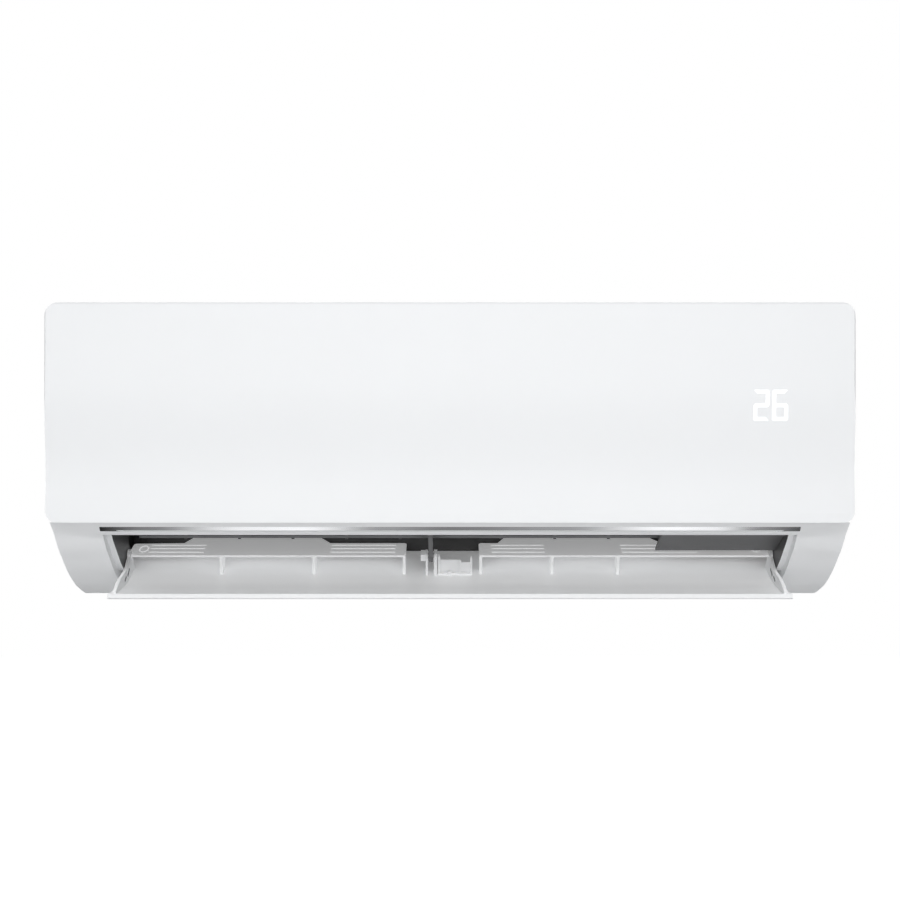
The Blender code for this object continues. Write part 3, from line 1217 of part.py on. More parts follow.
def flap_outer(shift=0.0, low=LIP[0] + 1.0):
    """Outer face of the closed flap, which carries on the curve of the cheeks."""
    face = offset_path(CHEEK, 0.6 + shift)
    reach = math.sqrt(FLAP_SWEEP**2 - (PIVOT[1] - BOTTOM - 1.0)**2)
    return between(face, low, PIVOT[0] + reach)


def flap_inner():
    """Inner face of the closed flap: the outer face moved in, thin at the tip and thicker behind."""
    face = flap_outer()
    last = len(face) - 1
    inner = []
    for index in range(last + 1):
        before = Vector(face[max(index - 1, 0)])
        after = Vector(face[min(index + 1, last)])
        along = (after - before).normalized()
        share = min(1.0, 1.6 * index / last)
        depth = FLAP_TIP_THICKNESS + (FLAP_REAR_THICKNESS - FLAP_TIP_THICKNESS) * share
        inner.append((face[index][0] - along.y * depth, face[index][1] + along.x * depth))
    return inner


def flap_rib(inner):
    """End rib of the closed flap: from the tip up to the pivot boss and down behind it."""
    tip = LIP[0] + 4.5
    foot = [(d, z - 1.5) for d, z in between(inner, tip, PIVOT[0] + 8.0)]
    crest = [(PIVOT[0] - 24.0, PIVOT[1] + 2.4), (PIVOT[0] - 52.0, PIVOT[1] + 13.8),
             (tip + 13.5, BOTTOM + 53.8), (tip + 4.5, BOTTOM + 55.2), (tip, BOTTOM + 53.2)]
    return [*foot, *arc(PIVOT, BOSS_RADIUS, -30.0, 160.0, 9), *crest]


def rib_holes():
    """Two small holes through each end rib."""
    return [circle((PIVOT[0] - 22.0, PIVOT[1] - 2.2), 2.2, 12),
            circle((PIVOT[0] - 44.3, PIVOT[1] + 7.4), 1.5, 10)]


def flap_fin(inner, top, radius):
    """A fin across the flap behind its middle, with a round top."""
    foot = [(d, z - 1.5) for d, z in between(inner, PIVOT[0] - 10.0, PIVOT[0] + 8.0)]
    return [*foot, *arc(top, radius, -20.0, 190.0, 7)]


def flap_fins(inner):
    """Lugs that hold the pin at both sides of the middle stay, and the fins of the clip beside it."""
    low, high = STAY_X
    top = (PIVOT[0] - 1.5, PIVOT[1] - 1.5)
    spread = ((low - STAY_GAP - 2.1, low - STAY_GAP, PIVOT, BOSS_RADIUS),
              (high + STAY_GAP, high + STAY_GAP + 3.1, PIVOT, BOSS_RADIUS),
              (high + 4.7, high + 6.5, top, 3.4),
              (high + 24.5, high + 26.1, (PIVOT[0] - 3.5, PIVOT[1] - 4.5), 2.6),
              (high + 34.4, high + 36.2, top, 2.6))
    return [plate("fin", "section", flap_fin(inner, middle, radius), start, end)
            for start, end, middle, radius in spread]


def flap_clip(inner):
    """Walls between the fins beside the stay: a pocket with two tabs, and an open bay."""
    low = STAY_X[1] + 6.2
    bay = STAY_X[1] + 25.9
    near, far = PIVOT[0] - 9.0, PIVOT[0] - 6.0
    floor = height_at(inner, near) - 1.5
    sill = [(near, floor), (near + 1.6, floor), (near + 1.6, floor + 3.4), (near, floor + 3.4)]
    panel = [(far, floor), (far + 1.4, floor), (far + 4.4, PIVOT[1] - 3.0), (far + 3.0, PIVOT[1] - 3.0)]
    bay_panel = [(far, floor), (far + 1.4, floor), (far + 3.4, PIVOT[1] - 5.0), (far + 2.0, PIVOT[1] - 5.0)]
    pieces = [plate("sill", "section", sill, low, low + 18.6),
              plate("sill", "section", sill, bay, bay + 8.8),
              plate("panel", "section", panel, low, low + 18.6),
              plate("panel", "section", bay_panel, bay, bay + 8.8)]
    middle = low + 9.3
    tab = [(near - 2.2, floor), (near + 0.6, floor), (near + 0.6, floor + 6.4), (near - 1.2, floor + 6.4)]
    return pieces, plate("clip_tab", "section", tab, middle - 1.7, middle + 1.7)


def blade_frame(low, high):
    """Drawing plane of an inner blade (x, r), where r is the distance behind the pivot."""
    turn = Matrix.Rotation(math.radians(BLADE_ANGLE), 4, "X")
    spot = Vector((0, PIVOT[0] - DEPTH, PIVOT[1])) * MM
    return Matrix.Translation(spot) @ turn @ Matrix.Translation((0, 0, (low + high) / 2 * MM))


FRAMES["blade"] = blade_frame


def build_flap():
    """The air-guide flap, modelled closed and then swung to the angle in which it rests."""
    outer = flap_outer()
    inner = flap_inner()
    half = OUTLET_HALF - FLAP_END_GAP
    tip = [(outer[0][0] - 0.6, (outer[0][1] + inner[0][1]) / 2)]
    flap = plate("flap", "section", [*outer, *reversed(inner), *tip], -half, half)
    uprights = flap_fins(inner)
    for side in (-1, 1):
        low, high = sorted((side * RIB_X[0], side * RIB_X[1]))
        uprights.append(plate("rib", "section", flap_rib(inner), low, high, rib_holes()))
    join(flap, merged("flap_uprights", uprights))
    pins = []
    for side, end in ((-1, OUTLET_HALF + 1.5), (1, OUTLET_HALF + 9.0)):
        low, high = sorted((side * (RIB_X[1] - 1.0), side * end))
        pins.append(rod("pin", "x", PIVOT, low, high, FLAP_PIN_RADIUS, 14))
    pins.append(box("pin_block", (STAY_X[0] - 7.4, STAY_X[0] - STAY_GAP - 1.0),
                    (PIVOT[0] - 3.6, PIVOT[0] + 3.6), (PIVOT[1] - 3.6, PIVOT[1] + 3.6)))
    join(flap, merged("flap_pins", pins))
    walls, tab = flap_clip(inner)
    join(flap, merged("flap_clip", walls))
    join(flap, tab)
    cut(flap, rod("flap_bore", "x", PIVOT, STAY_X[0] - 5.2, STAY_X[1] + 4.5, FLAP_PIN_RADIUS + SEAT, 14))
    tidy_flats(flap)
    finish(flap, "white_plastic")
    pin = rod("flap_pin", "x", PIVOT, STAY_X[0] - 4.9, STAY_X[1] + 4.0, FLAP_PIN_RADIUS, 14)
    finish(pin, "steel")
    blades = [build_blade("flap_blade_left", inner, *left_blade()),
              build_blade("flap_blade_right", inner, *right_blade())]
    axis = axis_empty("flap_axis", (0.0, *PIVOT), [flap, pin, *blades])
    axis.rotation_euler = (math.radians(FLAP_OPEN), 0.0, 0.0)


def blade_wing(low, high):
    """The raised rear middle of a blade, from right to left."""
    return [(high, BLADE_REACH), (high - 11.0, BLADE_TOP_REACH), (low + 7.0, BLADE_TOP_REACH),
            (low, BLADE_REACH)]


def left_blade():
    """Corners of the left blade, and the X of its webs."""
    left, right = -JAMB_HALF + STAY_GAP, STAY_X[0] - 21.4
    notch = RIB_X[0] - 0.4
    corners = [(-notch, -BLADE_FRONT), (right, -BLADE_FRONT, 2.0), (right, BLADE_REACH, 3.0),
               *blade_wing(left + 46.7, right - 72.0), (left, BLADE_REACH - 2.0, 3.0), (left, 7.0),
               (-notch, 7.0)]
    return corners, (left + 85.7, left + 171.7, right - 1.5)


def right_blade():
    """Corners of the right blade, and the X of its webs."""
    left, right = STAY_X[1] + 42.7, JAMB_HALF - STAY_GAP
    notch = RIB_X[0] - 0.4
    corners = [(left, -BLADE_FRONT, 2.0), (notch, -BLADE_FRONT), (notch, 7.0), (right, 7.0),
               (right, BLADE_REACH - 8.0, 3.0), *blade_wing(left + 18.0, right - 97.7),
               (left, BLADE_REACH, 3.0)]
    return corners, (left + 1.5, left + 67.5, left + 128.5)


def build_blade(name, inner, corners, webs):
    """An inner guide blade with its raised middle, and webs down to the flap's plate."""
    half = BLADE_THICKNESS / 2
    blade = plate(name, "blade", rounded(corners, 3), -half, half)
    spread = [(d, z + SEAT) for d, z in between(inner, PIVOT[0] - 8.0, PIVOT[0] + 9.0)]
    slope = math.tan(math.radians(BLADE_ANGLE))
    top = [(PIVOT[0] + 20.0, PIVOT[1] + 20.0 * slope), (PIVOT[0] - 1.5, PIVOT[1])]
    legs = [plate("web", "section", [*spread, *top], x - WEB_THICKNESS / 2, x + WEB_THICKNESS / 2)
            for x in webs]
    join(blade, merged(name + "_webs", legs))
    finish(blade, "soft_white_plastic")
    return blade


def build_flap_motor():
    """Small geared motor in the right cheek, on the flap's pivot."""
    near = OUTLET_HALF + WALL + SEAT
    motor = rod("flap_motor", "x", PIVOT, near, near + 17.0, 13.0, 20)
    ears = rounded(rectangle(PIVOT[0] - 21.0, PIVOT[1] - 3.5, PIVOT[0] + 21.0, PIVOT[1] + 3.5, 3.0), 2)
    join(motor, plate("motor_ears", "section", ears, near, near + 1.5))
    cut(motor, rod("flap_motor_bore", "x", PIVOT, near - 2.0, near + 8.0, FLAP_PIN_RADIUS + SEAT, 14))
    finish(motor, "steel")


def build_unit():
    """Every piece of the unit, from the wall outwards."""
    build_mounting_plate()
    build_rear_chassis()
    build_motor()
    build_fan()
    build_coil()
    build_pipes()
    build_drain_tray()
    build_duct_closure()
    build_vanes()
    build_flap_stay()
    build_flap()
    build_flap_motor()
    build_electrics()
    build_front_casing()
    build_outlet_trim()
    build_filters()
    panel = build_front_panel()
    axis_empty("panel_axis", (0.0, *HINGE), [panel])


build_unit()
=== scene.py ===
"""Looks of the wall-mounted air conditioner's indoor unit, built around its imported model."""

import math

import bmesh
import bpy
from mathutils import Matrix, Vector


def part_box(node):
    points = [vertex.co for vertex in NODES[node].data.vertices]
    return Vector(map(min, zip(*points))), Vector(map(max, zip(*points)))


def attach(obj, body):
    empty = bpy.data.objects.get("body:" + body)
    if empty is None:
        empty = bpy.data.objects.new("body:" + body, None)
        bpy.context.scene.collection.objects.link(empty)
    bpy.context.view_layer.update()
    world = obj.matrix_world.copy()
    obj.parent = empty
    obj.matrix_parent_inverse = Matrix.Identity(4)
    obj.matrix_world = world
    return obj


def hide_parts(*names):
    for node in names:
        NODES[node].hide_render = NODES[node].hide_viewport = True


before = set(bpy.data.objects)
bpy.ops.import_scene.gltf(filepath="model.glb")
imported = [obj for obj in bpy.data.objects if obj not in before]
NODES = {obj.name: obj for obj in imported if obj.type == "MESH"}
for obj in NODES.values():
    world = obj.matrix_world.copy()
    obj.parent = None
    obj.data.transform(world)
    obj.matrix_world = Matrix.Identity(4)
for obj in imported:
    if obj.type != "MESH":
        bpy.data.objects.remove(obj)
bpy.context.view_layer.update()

# Front plane of the panel and underside of the casing, in metres, read from the frame
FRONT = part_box("front_panel")[0].y
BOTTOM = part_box("front_casing")[0].z

# Camera, straight in front of the unit
CAMERA_DISTANCE = 1.45
CAMERA_HEIGHT = -0.077
CAMERA_LENS = 67.5
CAMERA_SHIFT = 0.1

# The part of a noise texture's values that a ramp stretches over its whole span
NOISE_MIDDLE = (0.3, 0.7)


def math_result(tree, operation, first, second):
    """A math node in a tree, on two sockets or numbers."""
    node = tree.nodes.new("ShaderNodeMath")
    node.operation = operation
    for socket, value in zip(node.inputs, (first, second)):
        if isinstance(value, float):
            socket.default_value = value
        else:
            tree.links.new(value, socket)
    return node.outputs["Value"]


class Shader:
    """A node material with a Principled BSDF, built up by small calls."""

    def __init__(self, name, colour, roughness, metallic=0.0):
        self.material = bpy.data.materials.new(name)
        self.material.use_nodes = True
        self.tree = self.material.node_tree
        self.bsdf = self.tree.nodes["Principled BSDF"]
        self.bsdf.inputs["Base Color"].default_value = (*colour, 1.0)
        self.bsdf.inputs["Roughness"].default_value = roughness
        self.bsdf.inputs["Metallic"].default_value = metallic
        self.colour = colour
        self.roughness = roughness
        self.place = self.add("ShaderNodeTexCoord").outputs["Object"]

    def add(self, kind, **settings):
        node = self.tree.nodes.new(kind)
        for name, value in settings.items():
            setattr(node, name, value)
        return node

    def link(self, source, target):
        self.tree.links.new(source, target)

    def stretched(self, scale):
        """Object coordinates scaled by (x, y, z)."""
        mapping = self.add("ShaderNodeMapping")
        mapping.inputs["Scale"].default_value = scale
        self.link(self.place, mapping.inputs["Vector"])
        return mapping.outputs["Vector"]

    def noise(self, scale, detail=2.0, stretch=None):
        node = self.add("ShaderNodeTexNoise")
        node.inputs["Scale"].default_value = scale
        node.inputs["Detail"].default_value = detail
        self.link(self.stretched(stretch) if stretch else self.place, node.inputs["Vector"])
        return node.outputs["Fac"]

    def ramp(self, factor, low=0.0, high=1.0):
        """A factor mapped between two values."""
        start, end = NOISE_MIDDLE
        node = self.add("ShaderNodeMapRange")
        node.inputs["From Min"].default_value = start
        node.inputs["From Max"].default_value = end
        node.inputs["To Min"].default_value = low
        node.inputs["To Max"].default_value = high
        self.link(factor, node.inputs["Value"])
        return node.outputs["Result"]

    def within(self, low, high):
        """A factor that is 1 inside a box given by two corners, in metres, and 0 outside."""
        split = self.add("ShaderNodeSeparateXYZ")
        self.link(self.place, split.inputs["Vector"])
        inside = None
        for axis, start, end in zip("XYZ", low, high):
            for operation, limit in (("GREATER_THAN", start), ("LESS_THAN", end)):
                test = math_result(self.tree, operation, split.outputs[axis], limit)
                inside = math_result(self.tree, "MULTIPLY", inside, test) if inside else test
        return inside

    def tint(self, factor, other):
        """Mix the base colour with another by a factor."""
        node = self.add("ShaderNodeMix", data_type="RGBA")
        node.inputs["A"].default_value = (*self.colour, 1.0)
        node.inputs["B"].default_value = (*other, 1.0)
        self.link(factor, node.inputs["Factor"])
        self.link(node.outputs["Result"], self.bsdf.inputs["Base Color"])

    def inset(self, factor, other):
        """Another colour where the factor is 1, over what the base colour has by now."""
        socket = self.bsdf.inputs["Base Color"]
        source = socket.links[0].from_socket
        node = self.add("ShaderNodeMix", data_type="RGBA")
        self.link(source, node.inputs["A"])
        node.inputs["B"].default_value = (*other, 1.0)
        self.link(factor, node.inputs["Factor"])
        self.link(node.outputs["Result"], socket)

    def paint_light_from_above(self, glow, start):
        """Painted light: a faint glow that grows from a given height of the faces' direction to straight
        up.
        """
        split = self.add("ShaderNodeSeparateXYZ")
        self.link(self.add("ShaderNodeTexCoord").outputs["Normal"], split.inputs["Vector"])
        share = self.add("ShaderNodeMapRange")
        share.inputs["From Min"].default_value = start
        share.inputs["From Max"].default_value = 1.0
        share.inputs["To Max"].default_value = glow
        self.link(split.outputs["Z"], share.inputs["Value"])
        self.bsdf.inputs["Emission Color"].default_value = (*self.colour, 1.0)
        self.link(share.outputs["Result"], self.bsdf.inputs["Emission Strength"])

    def uneven(self, factor, spread):
        """Roughness that wanders about its value."""
        value = self.ramp(factor, self.roughness - spread, self.roughness + spread)
        self.link(value, self.bsdf.inputs["Roughness"])

    def grain(self, factor, height):
        """Bump of a given height in metres."""
        node = self.add("ShaderNodeBump")
        node.inputs["Strength"].default_value = 1.0
        node.inputs["Distance"].default_value = height
        self.link(factor, node.inputs["Height"])
        self.link(node.outputs["Normal"], self.bsdf.inputs["Normal"])


# Painted shade inside the outlet: boxes in the object's own coordinates, each with its colour, where the
# white casing and chassis are painted dark. The duct's boxes also stand for its dark plastic. They follow
# the nodes around them, with a little room.
TRAY_LOW, TRAY_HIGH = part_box("drain_tray")
CLOSURE_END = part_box("duct_closure")[1].x
# Near black: the duct plastic's own colour, and painted shade in the duct's boxes
DUCT_DARK_AND_SHADE = (0.012, 0.012, 0.013)
# Painted shade on the casing's jambs inside the outlet
JAMB_PAINTED_SHADE = (0.055, 0.055, 0.057)
DUCT_HALF = 0.306
DUCT_START = FRONT + 0.125
DUCT_END = -0.009
SHADE_FLOOR = BOTTOM + 0.001
SHAFT_ROOM = 0.003
SHAFT_TOP = 0.2
JAMB_START = FRONT + 0.0365
JAMB_ROOM = 0.0005
JAMB_FLOOR = BOTTOM - 0.01
DUCT_SHADE_BOX = ((-DUCT_HALF, DUCT_START, SHADE_FLOOR), (DUCT_HALF, DUCT_END, TRAY_HIGH.z), DUCT_DARK_AND_SHADE)
SHAFT_SHADE_BOX = ((TRAY_LOW.x - SHAFT_ROOM, FRONT, SHADE_FLOOR),
             (TRAY_HIGH.x + SHAFT_ROOM, DUCT_END, SHAFT_TOP), DUCT_DARK_AND_SHADE)
JAMB_SHADE_BOX = ((-CLOSURE_END - JAMB_ROOM, JAMB_START, JAMB_FLOOR),
            (CLOSURE_END + JAMB_ROOM, DUCT_START, TRAY_HIGH.z), JAMB_PAINTED_SHADE)

# Plastics: scale and detail of their clouds, how far their roughness wanders and over what scale,
# and grains as (scale, height in metres)
CLOUDS = (9.0, 3.0)
WANDER = 0.012
WANDER_SCALE = 30.0
GLOSS_GRAIN = (260.0, 0.00001)
SATIN_GRAIN = (1500.0, 0.00003)
MATT_GRAIN = (1300.0, 0.00004)
BOARD_GRAIN = (900.0, 0.00002)
RUBBER_GRAIN = (900.0, 0.00005)


def moulded(name, colour, roughness, grain, shade, painted_shades=(), glow=0.0, glow_from=0.5):
    """Moulded plastic with faint clouds and a fine grain. Inside boxes it can have painted shade, and a
    faint glow on upper faces is painted light, which also stands for the light that thin white plastic
    passes on."""
    shader = Shader(name, colour, roughness)
    darker = [channel * shade for channel in colour]
    shader.tint(shader.ramp(shader.noise(*CLOUDS)), darker)
    for low, high, shade_colour in painted_shades:
        shader.inset(shader.within(low, high), shade_colour)
    if glow:
        shader.paint_light_from_above(glow, glow_from)
    shader.uneven(shader.noise(WANDER_SCALE, 1.0), WANDER)
    scale, height = grain
    shader.grain(shader.noise(scale), height)
    return shader.material


# Metals: scale and detail of their stains, and how far their roughness wanders
STAINS = (25.0, 4.0)
METAL_WANDER = 0.08
DRAWN_HEIGHT = 0.00001
BRIGHT_HEIGHT = 0.0000003


def metal(name, colour, roughness, stretch, scale, height=DRAWN_HEIGHT, stain=0.85):
    """Metal with marks drawn out along its working direction."""
    shader = Shader(name, colour, roughness, 1.0)
    darker = [channel * stain for channel in colour]
    shader.tint(shader.ramp(shader.noise(*STAINS)), darker)
    marks = shader.noise(scale, stretch=stretch)
    shader.uneven(marks, METAL_WANDER)
    shader.grain(marks, height)
    return shader.material


SPANGLE_SCALE = 260.0
SPANGLE_WANDER = 0.04
SHEET_GRAIN = (700.0, 0.00002)


def spangled(name, colour, other, roughness):
    """Galvanised sheet, whose crystals run from one colour to another."""
    shader = Shader(name, colour, roughness, 1.0)
    cells = shader.add("ShaderNodeTexVoronoi")
    cells.inputs["Scale"].default_value = SPANGLE_SCALE
    shader.link(shader.place, cells.inputs["Vector"])
    split = shader.add("ShaderNodeSeparateColor")
    shader.link(cells.outputs["Color"], split.inputs["Color"])
    shader.tint(split.outputs["Red"], other)
    shader.uneven(split.outputs["Green"], SPANGLE_WANDER)
    scale, height = SHEET_GRAIN
    shader.grain(shader.noise(scale), height)
    return shader.material


DIGIT_GLOW = 0.35
DIGIT_CLOUD_SCALE = 300.0
DIGIT_DUST = (40.0, 3.0)
DIGIT_WANDER = 0.04


def lit_digits(name, colour, other, roughness):
    """Digits that glow through the panel, clouded from one colour to another."""
    shader = Shader(name, colour, roughness)
    shader.tint(shader.ramp(shader.noise(DIGIT_CLOUD_SCALE)), other)
    shader.bsdf.inputs["Emission Color"].default_value = (1.0, 1.0, 1.0, 1.0)
    shader.bsdf.inputs["Emission Strength"].default_value = DIGIT_GLOW
    shader.uneven(shader.noise(*DIGIT_DUST), DIGIT_WANDER)
    return shader.material


# Fins of the coil and wires of the filters' nets, in metres, with the scale and detail of their
# dust. A hole of a net is where neither wire's wave is over NET_WIRE, and the nets lie NET_DEPTH
# inside their frames.
FIN_PITCH = 0.0014
FIN_HEIGHT = 0.0002
FIN_DUST = (120.0, 3.0)
FIN_WANDER = 0.08
FIN_METALLIC = 0.9
NET_PITCH = 0.0016
NET_WIRE = 0.75
NET_DEPTH = 0.0004
NET_DUST = (60.0, 3.0)
NET_WANDER = 0.05
# Painted shade in the holes of the nets
NET_HOLE_SHADE = (0.02, 0.02, 0.022)


def striped(shader, axis, pitch):
    """A factor that goes up and down once in each pitch along an axis. Blender's wave texture
    repeats every pi / (10 * scale)."""
    wave = shader.add("ShaderNodeTexWave", wave_type="BANDS", bands_direction=axis, wave_profile="SIN")
    wave.inputs["Scale"].default_value = math.pi / (10.0 * pitch)
    shader.link(shader.place, wave.inputs["Vector"])
    return wave.outputs["Fac"]


def finned(name, colour, painted_gap_shade, roughness):
    """Thin aluminium fins side by side, with painted shade in the gaps between them."""
    shader = Shader(name, colour, roughness, FIN_METALLIC)
    gaps = striped(shader, "X", FIN_PITCH)
    shader.tint(shader.ramp(gaps), painted_gap_shade)
    shader.uneven(shader.noise(*FIN_DUST), FIN_WANDER)
    shader.grain(gaps, FIN_HEIGHT)
    return shader.material


def netted(name, colour, other, roughness):
    """Filter plastic: a plain frame, and a woven net in its openings, whose holes are painted dark as
    painted shade.
    """
    shader = Shader(name, colour, roughness)
    shader.tint(shader.ramp(shader.noise(*CLOUDS)), other)
    across, upright = striped(shader, "X", NET_PITCH), striped(shader, "Z", NET_PITCH)
    wires = math_result(shader.tree, "MAXIMUM", across, upright)
    holes = math_result(shader.tree, "LESS_THAN", wires, NET_WIRE)
    low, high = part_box("air_filter_left")
    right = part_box("air_filter_right")[1]
    sheet = shader.within((low.x, low.y + NET_DEPTH, low.z), (right.x, high.y - NET_DEPTH, high.z))
    shader.inset(math_result(shader.tree, "MULTIPLY", sheet, holes), NET_HOLE_SHADE)
    shader.uneven(shader.noise(*NET_DUST), NET_WANDER)
    scale, height = MATT_GRAIN
    shader.grain(shader.noise(scale), height)
    return shader.material


SHELL_WHITE = (0.865, 0.872, 0.880)
BLADE_WHITE = (0.95, 0.955, 0.96)
MATERIALS = {
    "panel": moulded("panel_gloss_white", (0.815, 0.823, 0.832), 0.42, GLOSS_GRAIN, 0.998),
    # The casing and the chassis are painted dark inside the outlet, as painted shade
    "casing": moulded("casing_satin_white", SHELL_WHITE, 0.42, SATIN_GRAIN, 0.985,
                      painted_shades=(DUCT_SHADE_BOX, JAMB_SHADE_BOX)),
    "chassis": moulded("chassis_white", (0.80, 0.805, 0.81), 0.45, SATIN_GRAIN, 0.97,
                       painted_shades=(DUCT_SHADE_BOX, SHAFT_SHADE_BOX)),
    # Painted light: the flap glows on its upper faces, and the blades and ribs glow more the further their
    # faces turn up
    "flap": moulded("flap_white_painted_light", (0.935, 0.94, 0.945), 0.42, SATIN_GRAIN, 0.985, glow=0.20),
    "blade": moulded("blade_white_painted_light", BLADE_WHITE, 0.35, SATIN_GRAIN, 0.985, glow=0.30, glow_from=-1.0),
    "rib": moulded("blade_rib_painted_light", BLADE_WHITE, 0.35, SATIN_GRAIN, 0.985, glow=0.60, glow_from=-1.0),
    "mid": moulded("mid_grey_plastic", (0.23, 0.235, 0.24), 0.5, MATT_GRAIN, 0.93),
    "inner_white": moulded("inner_white", (0.86, 0.865, 0.87), 0.45, SATIN_GRAIN, 0.985),
    "grey": moulded("grey_plastic", (0.15, 0.15, 0.154), 0.5, MATT_GRAIN, 0.9),
    "duct": moulded("duct_dark_plastic", DUCT_DARK_AND_SHADE, 0.6, MATT_GRAIN, 0.85),
    "dark": moulded("dark_plastic", (0.030, 0.031, 0.033), 0.5, MATT_GRAIN, 0.85),
    # Painted shade: the duct's closure is painted dark for the shade it stands in
    "closure_shade": moulded("closure_painted_shade", (0.095, 0.095, 0.098), 0.5, MATT_GRAIN, 0.9),
    "vane": moulded("vane_plastic", (0.11, 0.11, 0.115), 0.5, MATT_GRAIN, 0.9),
    "board": moulded("board_green", (0.02, 0.14, 0.05), 0.35, BOARD_GRAIN, 0.8),
    "rubber": moulded("rubber", (0.018, 0.018, 0.018), 0.75, RUBBER_GRAIN, 0.8),
    # The chrome's bright and dark bands come from the floor's painted reflections
    "chrome": metal("chrome_trim", (0.90, 0.91, 0.92), 0.07, (1.0, 60.0, 60.0), 6.0,
                    BRIGHT_HEIGHT, 0.98),
    "steel": metal("plain_steel", (0.55, 0.56, 0.57), 0.36, (40.0, 4.0, 4.0), 12.0),
    "sheet": spangled("galvanised_sheet", (0.60, 0.61, 0.62), (0.56, 0.575, 0.59), 0.42),
    "fins": finned("fin_aluminium", (0.74, 0.75, 0.76), (0.16, 0.165, 0.17), 0.38),
    "net": netted("filter_plastic", (0.19, 0.19, 0.195), (0.17, 0.17, 0.175), 0.5),
    "copper": metal("copper_tube", (0.76, 0.36, 0.20), 0.28, (1.0, 1.0, 1.0), 30.0, stain=0.7),
    "lit": lit_digits("lit_digits", (0.9, 0.9, 0.9), (0.86, 0.87, 0.9), 0.3),
    "brass": metal("brass_nut", (0.76, 0.58, 0.26), 0.26, (6.0, 30.0, 30.0), 12.0),
}

NODE_MATERIALS = {
    "front_panel": "panel", "front_casing": "casing", "flap": "flap", "outlet_trim": "chrome",
    "rear_chassis": "chassis", "flap_blade_left": "blade", "flap_blade_right": "blade",
    "service_cover": "inner_white", "manual_button": "inner_white", "vane_crank": "inner_white",
    "drain_tray": "duct", "duct_closure": "closure_shade", "flap_stay": "grey", "vane_link": "mid",
    "air_filter_left": "net", "air_filter_right": "net", "control_box": "grey",
    "fan_rotor": "dark", "display_housing": "dark", "button_switch": "dark", "terminal_block": "dark",
    "mounting_plate": "sheet", "control_lid": "sheet", "motor_clamp": "sheet",
    "fan_motor": "steel", "fan_shaft": "steel", "motor_shaft": "steel", "flap_pin": "steel",
    "flap_motor": "steel", "vane_motor": "steel",
    "coil_front_lower": "fins", "coil_front_upper": "fins", "coil_rear": "fins",
    "coil_end_left": "copper", "coil_end_right": "copper", "gas_pipe": "copper", "liquid_pipe": "copper",
    "gas_nut": "brass", "liquid_nut": "brass", "fan_bearing": "rubber", "control_board": "board",
}
NODE_MATERIALS.update({f"vane_{number}": "vane" for number in range(1, 9)})

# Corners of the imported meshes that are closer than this, in metres, are one corner, and edges
# that turn by more than this angle stay sharp
WELD_GAP = 0.000005
SHARP_TURN = math.radians(32.0)


def softening():
    """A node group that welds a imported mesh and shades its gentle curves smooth."""
    group = bpy.data.node_groups.new("weld_and_smooth", "GeometryNodeTree")
    group.interface.new_socket("Geometry", in_out="INPUT", socket_type="NodeSocketGeometry")
    group.interface.new_socket("Geometry", in_out="OUTPUT", socket_type="NodeSocketGeometry")
    start = group.nodes.new("NodeGroupInput")
    weld = group.nodes.new("GeometryNodeMergeByDistance")
    weld.inputs["Distance"].default_value = WELD_GAP
    faces = group.nodes.new("GeometryNodeSetShadeSmooth")
    faces.domain = "FACE"
    angle = group.nodes.new("GeometryNodeInputMeshEdgeAngle")
    sharp = group.nodes.new("FunctionNodeCompare")
    sharp.data_type = "FLOAT"
    sharp.operation = "GREATER_THAN"
    sharp.inputs["B"].default_value = SHARP_TURN
    edges = group.nodes.new("GeometryNodeSetShadeSmooth")
    edges.domain = "EDGE"
    edges.inputs["Shade Smooth"].default_value = False
    end = group.nodes.new("NodeGroupOutput")
    link = group.links.new
    link(start.outputs[0], weld.inputs["Geometry"])
    link(weld.outputs[0], faces.inputs["Geometry"])
    link(faces.outputs[0], edges.inputs["Geometry"])
    link(angle.outputs["Unsigned Angle"], sharp.inputs["A"])
    link(sharp.outputs["Result"], edges.inputs["Selection"])
    link(edges.outputs[0], end.inputs[0])
    return group


def dress_nodes():
    """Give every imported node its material, and smooth shading that keeps its flat faces flat."""
    group = softening()
    for name, key in NODE_MATERIALS.items():
        node = NODES[name]
        node.data.materials.clear()
        node.data.materials.append(MATERIALS[key])
        step = node.modifiers.new("soften", "NODES")
        step.node_group = group
        weigh = node.modifiers.new("weigh", "WEIGHTED_NORMAL")
        weigh.keep_sharp = True


def new_object(name, shape):
    """An object in the scene from a bmesh."""
    mesh = bpy.data.meshes.new(name)
    shape.to_mesh(mesh)
    shape.free()
    result = bpy.data.objects.new(name, mesh)
    bpy.context.scene.collection.objects.link(result)
    return result


def new_piece(name, shape, material, carrier):
    """A scene piece from a bmesh, its material and the body that carries it."""
    piece = new_object(name, shape)
    piece.data.materials.append(MATERIALS[material])
    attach(piece, carrier)
    return piece


def lofted(shape, rows, closed=True):
    """Skin rows of points with quads; a closed row also joins its last point to its first."""
    grid = [[shape.verts.new(point) for point in row] for row in rows]
    for near, far in zip(grid, grid[1:]):
        last = len(near) if closed else len(near) - 1
        for index in range(last):
            after = (index + 1) % len(near)
            shape.faces.new((near[index], near[after], far[after], far[index]))
    return grid


# Bright line above the outlet: a rounded bead in the place of the plain strip. Its arc starts
# BEAD_FRONT behind the strip's front and turns between two angles in degrees. Its foot is given
# by (depth before the strip's back, height over its underside).
BEAD_FRONT = 0.0002
BEAD_TURN = (-4.0, -82.0)
BEAD_STEPS = 14
BEAD_FOOT = ((0.0002, 0.0001), (0.0004, 0.0006))


